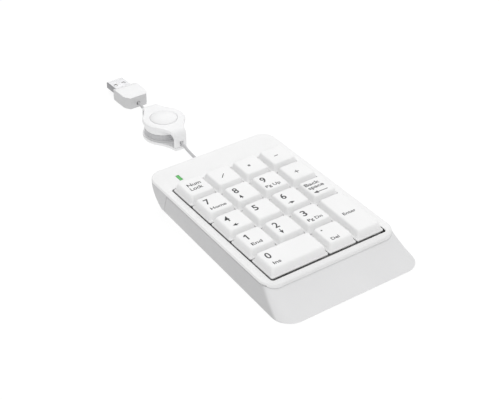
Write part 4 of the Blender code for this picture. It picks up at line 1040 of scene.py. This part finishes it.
LEGENDS["key_multiply"] = (lambda bm: star(bm, 8.1, 9.5, 1.05, 0.2),)
LEGENDS["key_plus"] = (lambda bm: cross(bm, 8.4, 8.7, 1.45, 0.24),)
for name, column, row, columns, rows in KEYS:
    bm = bmesh.new()
    for draw in LEGENDS[name]:
        draw(bm)
    bmesh.ops.scale(bm, vec=(MM, MM, MM), verts=bm.verts)
    bmesh.ops.translate(bm, vec=Vector((-FIELD_A + column * PITCH, -FIELD_B + row * PITCH, 0)) * MM, verts=bm.verts)
    mark = new_object("work_legend_" + name, new_mesh("legend", bm), None, key_plane)
    settle(mark, "legend_" + name[4:], [M_LEGEND], name, sharp=30.0)

# ------------------------------------------------------------ status light window
bm = bmesh.new()
levels = ((1.0, 2.6, -5.4, 0.2), (1.0, 2.6, -3.1, 0.2), (1.9, 3.5, -3.1, 0.3), (1.9, 3.5, -2.1, 0.3), (1.0, 2.6, -2.1, 0.3), (1.0, 2.6, -0.12, 0.3), (0.93, 2.53, -0.03, 0.28), (0.8, 2.4, 0.0, 0.25))
rows_of = []
for half_a, half_b, w, radius in levels:
    points, _ = rounded_quad(-half_b, half_b, half_a, half_a, (radius,) * 4, 0.0, seg=5, subs=(1, 1, 1, 1))
    rows_of.append([bm.verts.new(Vector((p.x, p.y, w)) * MM) for p in points])
for low, high in zip(rows_of, rows_of[1:]):
    for i in range(len(low)):
        j = (i + 1) % len(low)
        bm.faces.new((low[i], low[j], high[j], high[i]))
bm.faces.new(rows_of[0][::-1])
bm.faces.new(rows_of[-1])
settle(new_object("work_led_window", new_mesh("led_window", bm), None, key_plane, (LED_A, LED_B, 0)), "led_window_finish", [M_GREEN], "case", ["led_window"])

# ------------------------------------------------------------ cable outlet
grommet = turned(
    "work_grommet",
    [
        (1.15, RELIEF_END), (1.6, RELIEF_END), (1.72, RELIEF_END - 0.12), (1.78, RELIEF_END - 0.9), (1.5, RELIEF_END - 1.05), (1.5, RELIEF_END - 1.6),
        (1.86, RELIEF_END - 1.75), (1.95, RELIEF_END - 2.9), (1.65, RELIEF_END - 3.05), (1.65, RELIEF_END - 3.6), (2.05, RELIEF_END - 3.75),
        (2.15, RELIEF_END - 4.9), (1.85, RELIEF_END - 5.05), (1.85, RELIEF_END - 5.6), (2.3, RELIEF_END - 5.8), (2.5, OUTLET_FACE + 1.6), (3.0, OUTLET_FACE + 1.45),
        (3.1, OUTLET_FACE + 1.3), (3.1, OUTLET_FACE + 0.25), (2.05, OUTLET_FACE + 0.25), (2.05, 63.3), (2.9, 63.3), (2.9, 62.1), (1.15, 62.1),
    ],
    at=(OUTLET_X, 0, OUTLET_Z), steps=48, axis="Y",
)
settle(grommet, "cable_grommet_finish", [M_CORD], "case", ["cable_grommet"], sharp=40.0)

# ------------------------------------------------------------ cable reel
REEL_HOLE_Z, REEL_HOLE_X = 4.4, 0.35


def reel_point(x, y, z):
    c, s = math.cos(REEL_TURN), math.sin(REEL_TURN)
    return (REEL_X + x * c - y * s, REEL_Y + x * s + y * c, z)


reel = bpy.data.objects.new("reel_frame", None)
PARTS.objects.link(reel)
reel.location = Vector((REEL_X, REEL_Y, 0)) * MM
reel.rotation_euler = (0, 0, REEL_TURN)


def reel_outline(fine=5):
    """A disc drawn out into a nose at each end, from a smooth quarter."""
    knots = [(REEL_R * math.cos(q), REEL_R * math.sin(q), 0) for q in (math.radians(43) * i / 5 for i in range(6))]
    x0, y0 = knots[-1][:2]
    x1, y1 = REEL_NOSE + 0.25, REEL_HALF - 1.2
    for i in range(1, 5):
        t = i / 4
        knots.append((x0 + (x1 - x0) * t - 0.9 * math.sin(math.pi * t), y0 + (y1 - y0) * t, 0))
    quarter = [p[:2] for p in smooth_route(knots, 46)]
    cx, cy = REEL_NOSE + 0.25 - 1.1, REEL_HALF - 1.1
    quarter += [(cx + 1.1 * math.cos(q), cy + 1.1 * math.sin(q)) for q in (math.pi / 2 * i / 6 for i in range(1, 7))]
    half = quarter + [(-x, y) for x, y in quarter[::-1]]
    return half[:-1] + [(-x, -y) for x, y in half][:-1]


OUTLINE = reel_outline()


def reel_plate(name, levels):
    rings = [[Vector((x * k, y * (k * 0.35 + 0.65), z)) * MM for x, y in OUTLINE] for z, k in levels]
    made = loft(name, rings)
    made.parent = reel
    return made


def edge_roll(low, high, roll_low, roll_high):
    """Levels of a plate whose lower and upper edges are rounded."""
    levels = []
    for i in range(5):
        q = math.pi / 2 * i / 4
        levels.append((low + roll_low * (1 - math.cos(q)), 1.0 - roll_low / REEL_R * (1 - math.sin(q))))
    for i in range(7):
        q = math.pi / 2 * i / 6
        levels.append((high - roll_high * (1 - math.sin(q)), 1.0 - roll_high * 1.15 / REEL_R * (1 - math.cos(q))))
    return levels


bottom_shell = reel_plate("work_reel_bottom", edge_roll(0.0, REEL_PLATE, 0.4, 0.2))
bm = bmesh.new()
add_cylinder(bm, (0, 0, 0), "Z", 1.2, 10.3, 2.0, 32)
boolean(bottom_shell, new_object("reel_post", new_mesh("reel_post", bm), cutter=True, parent=reel), "UNION")
bm = bmesh.new()
add_cylinder(bm, (0, 0, 0), "Z", 4.0, 12.0, 0.95, 20)
add_box(bm, (-1.0, 6.2, 0.75), (1.0, 10.6, 3.0))
boolean(bottom_shell, new_object("reel_post_bore", new_mesh("reel_post_bore", bm), cutter=True, parent=reel))
settle(bottom_shell, "reel_bottom_finish", [M_REEL], "case", ["reel_bottom_shell"])


def reel_side_cutter(name, outline):
    cutter = side_prism(name, outline, -20, 20)
    cutter.parent = reel
    return cutter


# a plate whose two ends bend down to the bottom plate, open along both sides
top_shell = reel_plate("work_reel_top", edge_roll(2.1, REEL_TOP, 0.1, 0.95))
roll_y, roll_z = REEL_HALF - 5.3, REEL_TOP - 5.0
opening = [(roll_y + 4.1 * math.sin(q), roll_z + (REEL_TOP_UNDER - roll_z) * math.cos(q)) for q in (math.pi / 2 * i / 22 for i in range(23))]
opening.append((opening[-1][0], 1.0))
boolean(top_shell, reel_side_cutter("side_opening", opening + [(-y, z) for y, z in opening[::-1]]))
for sign, label in ((-1, "near"), (1, "far")):
    x = REEL_HOLE_X if sign < 0 else 0.0
    low, high = sorted((sign * (REEL_HALF - 4), sign * (REEL_HALF + 2)))
    boolean(top_shell, box(f"nose_slot_{label}", (x - 1.3, low, REEL_HOLE_Z - 1.75), (x + 1.3, high, REEL_HOLE_Z + 1.75), parent=reel, cutter=True))
    start = sign * roll_y
    roll = [(sign * (roll_y + 5.3 * math.sin(q)), roll_z + 5.0 * math.cos(q)) for q in (math.pi / 2 * i / 22 for i in range(23))]
    boolean(top_shell, reel_side_cutter(f"nose_roll_{label}", [(start - sign * 1.0, REEL_TOP + 0.01)] + roll[1:] + [(sign * 26, roll[-1][1]), (sign * 26, 16), (start - sign * 1.0, 16)]))
bm = bmesh.new()
add_cylinder(bm, (0, 0, 0), "Z", 11.9, 14.0, REEL_CAP_R + 0.2, 96)
boolean(top_shell, new_object("cap_recess", new_mesh("cap_recess", bm), cutter=True, parent=reel))
bm = bmesh.new()
add_cylinder(bm, (0, 0, 0), "Z", 10.0, 12.5, 1.1, 20)
boolean(top_shell, new_object("axle_hole", new_mesh("axle_hole", bm), cutter=True, parent=reel))
settle(top_shell, "reel_top_finish", [M_REEL], "case", ["reel_top_shell"], sharp=42.0)

cap_line = [(8.6 * math.sin(q), 12.62 + 0.88 * (math.cos(q) - math.cos(1.25)) / (1 - math.cos(1.25))) for q in (1.25 * i / 14 for i in range(15))]
cap_line = [(r / cap_line[-1][0] * 8.35, z) for r, z in cap_line]
cap = turned("work_reel_cap", cap_line + [(8.5, 12.58), (8.58, 12.48), (REEL_CAP_R, 12.36), (REEL_CAP_R, 12.1), (5.0, 12.1), (4.6, 12.9), (0, 12.95)], parent=reel, steps=96)
settle(cap, "reel_cap_finish", [M_REEL], "case", ["reel_cap"])

spool = turned(
    "work_reel_spool",
    [
        (2.2, 7.2), (11.0, 7.2), (11.0, 9.9), (11.2, 10.15), (12.0, 10.15), (12.2, 9.95), (12.2, 6.62), (12.0, 6.45),
        (4.4, 6.45), (4.4, 2.5), (12.4, 2.5), (12.5, 2.42), (12.5, 2.18), (12.4, 2.1), (2.2, 2.1),
    ],
    parent=reel, steps=96,
)
settle(spool, "reel_spool_finish", [M_REEL], "reel_spool", ["reel_spool"])

# the flat cord wound on the drum: ribbed on the outside, one ridge to each turn above and below
profile = []
for i in range(73):
    t = i / 72
    profile.append((12.1 - 0.30 * (1 - abs(math.sin(math.pi * 4 * t))) ** 1.5, 6.12 - 3.5 * t))
for i in range(1, 64):
    t = i / 64
    profile.append((11.8 - 7.0 * t, 2.62 + 0.14 * (1 - abs(math.sin(math.pi * 8 * t)))))
profile.append((4.8, 2.8))
profile.append((4.8, 5.95))
for i in range(1, 64):
    t = i / 64
    profile.append((4.8 + 7.0 * t, 6.12 - 0.14 * (1 - abs(math.sin(math.pi * 8 * t)))))
wound = turned("work_wound_cord", profile, parent=reel, steps=96)
settle(wound, "reel_wound_cord_finish", [M_CORD], "reel_spool", ["reel_wound_cord"], sharp=60.0)

# ------------------------------------------------------------ plug
plug_outline = [
    (-PLUG_HALF + 2.6, PLUG_REAR), (PLUG_HALF - 2.6, PLUG_REAR), (PLUG_HALF - 0.6, PLUG_REAR + 3.0), (PLUG_HALF, PLUG_REAR + 4.9),
    (PLUG_HALF, PLUG_FRONT - 2.2), (PLUG_HALF - 0.7, PLUG_FRONT), (-PLUG_HALF + 0.7, PLUG_FRONT), (-PLUG_HALF, PLUG_FRONT - 2.2),
    (-PLUG_HALF, PLUG_REAR + 4.9), (-PLUG_HALF + 0.6, PLUG_REAR + 3.0),
]
plug = prism("work_plug_body", plug_outline, 0.0, PLUG_H, at=(PLUG_X, 0, 0))
slope = side_prism("plug_slope", [(183.2, PLUG_H), (189.0, PLUG_H - 1.75), (195, 12), (183.2, 12)], -20, 40)
boolean(plug, slope)
bevel = plug.modifiers.new("edges", "BEVEL")
bevel.width = 0.32 * MM
bevel.segments = 4
bevel.limit_method = "ANGLE"
bevel.angle_limit = math.radians(28)
bm = bmesh.new()
add_box(bm, (-SHELL_W / 2 - 0.2, PLUG_FRONT - 4.6, SHELL_Z - SHELL_H / 2 - 0.2), (SHELL_W / 2 + 0.2, PLUG_FRONT + 3, SHELL_Z + SHELL_H / 2 + 0.2))
boolean(plug, new_object("plug_pocket", new_mesh("plug_pocket", bm), cutter=True, at=(PLUG_X, 0, 0)))
for label, low, high in (
    ("top", (-PLUG_HALF - 1, 185.6, 7.45), (PLUG_HALF + 1, 185.85, 9.0)),
    ("left", (-PLUG_HALF - 1, 185.6, 0.8), (-PLUG_HALF + 0.18, 185.85, 7.0)),
    ("right", (PLUG_HALF - 0.18, 185.6, 0.8), (PLUG_HALF + 1, 185.85, 7.0)),
):
    boolean(plug, box("plug_seam_" + label, low, high, at=(PLUG_X, 0, 0), cutter=True))
bm = bmesh.new()
add_cylinder(bm, (PLUG_X - 0.1, 0, 2.9), "Y", PLUG_REAR - 1, PLUG_REAR + 5.5, 1.32, 32)
boolean(plug, new_object("plug_cord_hole", new_mesh("plug_cord_hole", bm), cutter=True))
settle(plug, "plug_body_finish", [M_REEL], "case", ["plug_body"], sharp=38.0)


def shell_ring(half_x, half_z, radius, y):
    points, _ = rounded_quad(-half_z, half_z, half_x, half_x, (radius,) * 4, 0.0, seg=6, subs=(1, 1, 1, 1))
    return [Vector((p.x + PLUG_X, y, p.y + SHELL_Z)) * MM for p in points]


shell_back = PLUG_FRONT - 4.3
outer_x, outer_z = SHELL_W / 2, SHELL_H / 2
steps_out = [shell_ring(outer_x, outer_z, 0.7, shell_back), shell_ring(outer_x, outer_z, 0.7, PLUG_TIP - 0.15), shell_ring(outer_x - 0.12, outer_z - 0.12, 0.6, PLUG_TIP)]
steps_in = [shell_ring(outer_x - SHELL_WALL, outer_z - SHELL_WALL, 0.45, y) for y in (PLUG_TIP, shell_back)]
bm = bmesh.new()
loop = [[bm.verts.new(p) for p in ring] for ring in steps_out + steps_in]
for first, second in zip(loop, loop[1:] + loop[:1]):
    for i in range(len(first)):
        j = (i + 1) % len(first)
        bm.faces.new((first[i], first[j], second[j], second[i]))
shell = new_object("work_plug_shell", new_mesh("plug_shell", bm))
bm = bmesh.new()
for x in (-3.05, 3.05):
    add_box(bm, (x - 1.05, PLUG_TIP - 8.2, SHELL_Z + 1.0), (x + 1.05, PLUG_TIP - 5.8, SHELL_Z + 5))
    add_box(bm, (x - 1.05, PLUG_TIP - 8.2, SHELL_Z - 5), (x + 1.05, PLUG_TIP - 5.8, SHELL_Z - 1.6))
boolean(shell, new_object("shell_windows", new_mesh("shell_windows", bm), cutter=True, at=(PLUG_X, 0, 0)))
bm = bmesh.new()
for x in (-3.05, 3.05):
    add_box(bm, (x - 0.8, PLUG_TIP - 8.6, SHELL_Z + 1.62), (x + 0.8, PLUG_TIP - 6.1, SHELL_Z + 2.02))
boolean(shell, new_object("latch_tabs", new_mesh("latch_tabs", bm), cutter=True, at=(PLUG_X, 0, 0)), "UNION")
settle(shell, "plug_shell_finish", [M_SHELL], "case", ["plug_metal_shell"], sharp=40.0)


# ------------------------------------------------------------ cords
def ribbon(name, route_mm, nodes, half_high=1.2, half_thick=0.56):
    """A flat cord standing on its edge along a route, with a ridge for each wire inside it."""
    points = [Vector(p) for p in route_mm]
    section = []
    for i in range(33):
        t = i / 32
        z = half_high * math.sin(math.pi * (t - 0.5))
        section.append((half_thick * (max(0.0, 1 - (abs(z) / half_high) ** 6)) ** 0.5 * (1 - 0.22 * (1 - abs(math.sin(math.pi * 4 * (z / half_high + 1) / 2)))), z))
    section = section + [(-x, z) for x, z in section[-2:0:-1]]
    bm = bmesh.new()
    rings = []
    for k, p in enumerate(points):
        before, after = points[max(k - 1, 0)], points[min(k + 1, len(points) - 1)]
        along = (after - before).normalized()
        side = along.cross(Vector((0, 0, 1))).normalized()
        up = side.cross(along).normalized()
        rings.append([bm.verts.new((p + side * x + up * z) * MM) for x, z in section])
    for low, high in zip(rings, rings[1:]):
        for i in range(len(low)):
            j = (i + 1) % len(low)
            bm.faces.new((low[i], low[j], high[j], high[i]))
    bm.faces.new(rings[0][::-1])
    bm.faces.new(rings[-1])
    return settle(new_object("work_" + name, new_mesh(name, bm)), name, [M_CORD], "case", nodes, sharp=60.0)


near = reel_point(REEL_HOLE_X, -REEL_HALF, REEL_HOLE_Z)
first_route = smooth_route(
    [(OUTLET_X, RELIEF_END - 1.5, OUTLET_Z), (OUTLET_X, RELIEF_END + 0.45, OUTLET_Z - 0.1), (4.2, 81.5, 5.0), (4.9, 87.5, 2.7), (5.5, 93.5, 1.75), (5.75, 100.0, 2.4),
     (5.6, near[1] - 2.2, 4.0), reel_point(REEL_HOLE_X, -REEL_HALF + 0.9, REEL_HOLE_Z), reel_point(REEL_HOLE_X - 0.1, -17.0, 4.55), reel_point(0.2, -14.2, 4.6)], 90)
second_route = smooth_route(
    [reel_point(-0.2, 14.2, 4.6), reel_point(0.0, 17.0, 4.5), reel_point(0, REEL_HALF - 0.9, REEL_HOLE_Z), reel_point(0.2, REEL_HALF + 2.5, 4.5), (9.4, 158.5, 3.4),
     (10.8, 165.0, 2.9), (PLUG_X - 0.1, PLUG_REAR, 2.9), (PLUG_X - 0.1, PLUG_REAR + 4.6, 2.9)], 90)


cord_one = ribbon("cord_keypad_to_reel_finish", first_route, ["cord_keypad_to_reel"])
cord_two = ribbon("cord_reel_to_plug_finish", second_route, ["cord_reel_to_plug"])

# ------------------------------------------------------------ finishes of the CAD nodes that stay
STAY = {
    "cable_inner_lead": M_CORD, "controller_board": M_BOARD, "controller_chip": M_EPOXY, "membrane_clamp_bar": M_STEEL,
    "membrane_lower": M_FILM, "membrane_spacer": M_FILM, "membrane_upper": M_FILM, "plug_tongue": M_TONGUE,
    "reel_axle_screw": M_STEEL, "reel_ratchet_ball": M_STEEL, "reel_spiral_spring": M_STEEL, "rubber_dome_sheet": M_RUBBER,
    "stabiliser_wire_0": M_STEEL, "stabiliser_wire_enter": M_STEEL, "status_led": M_GREEN,
    "board_screw_left": M_STEEL, "board_screw_right": M_STEEL, "case_screw_front_left": M_STEEL, "case_screw_front_right": M_STEEL,
    "case_screw_rear_left": M_STEEL, "case_screw_rear_right": M_STEEL,
    "plug_contact_1": M_GOLD, "plug_contact_2": M_GOLD, "plug_contact_3": M_GOLD, "plug_contact_4": M_GOLD,
}
for name, paint in STAY.items():
    for slot in NODES[name].material_slots:
        slot.material = paint
HIDDEN = {
    "top_case": M_TOP, "bottom_case": M_SKIRT, "led_window": M_GREEN, "cable_grommet": M_CORD, "cord_keypad_to_reel": M_CORD,
    "cord_reel_to_plug": M_CORD, "reel_bottom_shell": M_REEL, "reel_top_shell": M_REEL, "reel_cap": M_REEL, "reel_spool": M_SPOOL,
    "reel_wound_cord": M_CORD, "plug_body": M_REEL, "plug_metal_shell": M_SHELL,
}
HIDDEN.update({name: M_KEY for name, *_ in KEYS})
HIDDEN.update({name: M_FOOT for name in FEET})
for name, paint in HIDDEN.items():
    for slot in NODES[name].material_slots:
        slot.material = paint

# working objects go
for item in list(PARTS.objects):
    bpy.data.objects.remove(item, do_unlink=True)
scene.collection.children.unlink(PARTS)
bpy.data.collections.remove(PARTS)

# ------------------------------------------------------------ floor and light
floor_mesh = bpy.data.meshes.new("floor")
bm = bmesh.new()
corners = [bm.verts.new(p) for p in ((-6, -6, 0), (6, -6, 0), (6, 6, 0), (-6, 6, 0))]
bm.faces.new(corners)
bm.to_mesh(floor_mesh)
bm.free()
floor = bpy.data.objects.new("floor", floor_mesh)
scene.collection.objects.link(floor)
floor_paint = finish_material("floor_paper", (0.16, 0.16, 0.16), 0.9, grain=300.0, bump=0.02, shade=0.004)
floor_shader = floor_paint.node_tree.nodes["Principled BSDF"]
floor_shader.inputs["Emission Color"].default_value = (1.0, 1.0, 1.0, 1.0)
floor_shader.inputs["Emission Strength"].default_value = 0.88
floor_shader.inputs["Specular IOR Level"].default_value = 0.0
floor_mesh.materials.append(floor_paint)
floor.location.z = -0.0002

world = bpy.data.worlds.new("studio")
scene.world = world
world.use_nodes = True
world.node_tree.nodes["Background"].inputs["Color"].default_value = (1.0, 1.0, 1.0, 1.0)
world.node_tree.nodes["Background"].inputs["Strength"].default_value = 0.62


def area_light(name, place, aim, size, power):
    data = bpy.data.lights.new(name, "AREA")
    data.shape = "SQUARE"
    data.size = size
    data.energy = power
    made = bpy.data.objects.new(name, data)
    scene.collection.objects.link(made)
    made.location = place
    made.rotation_mode = "QUATERNION"
    made.rotation_quaternion = (Vector(aim) - Vector(place)).to_track_quat("-Z", "Y")
    return made


# Painted shade: faces that look sideways or down on the plug body, the plug shell and any finished reel piece whose
# name holds "shell" get darker copies of their material.
paint_side_shade_faces(bpy.data.objects["plug_body_finish"], M_PLUG_SIDE_SHADE)
paint_side_shade_faces(bpy.data.objects["plug_shell_finish"], M_SHELL_SIDE_SHADE)
for obj in list(bpy.data.objects):
    if obj.name.startswith("reel") and "shell" in obj.name and obj.name.endswith("_finish"):
        paint_side_shade_faces(obj, M_REEL_SIDE_SHADE, 0.8)
area_light("softbox", (0.25, 0.25, 1.55), (0.0, 0.03, 0.0), 1.1, 6.0)
area_light("rear_panel", (0.85, 1.10, 0.90), (0.0, 0.05, 0.0), 0.9, 4.0)
area_light("front_fill", (-0.35, -0.95, 0.90), (0.0, 0.0, 0.0), 1.0, 3.0)
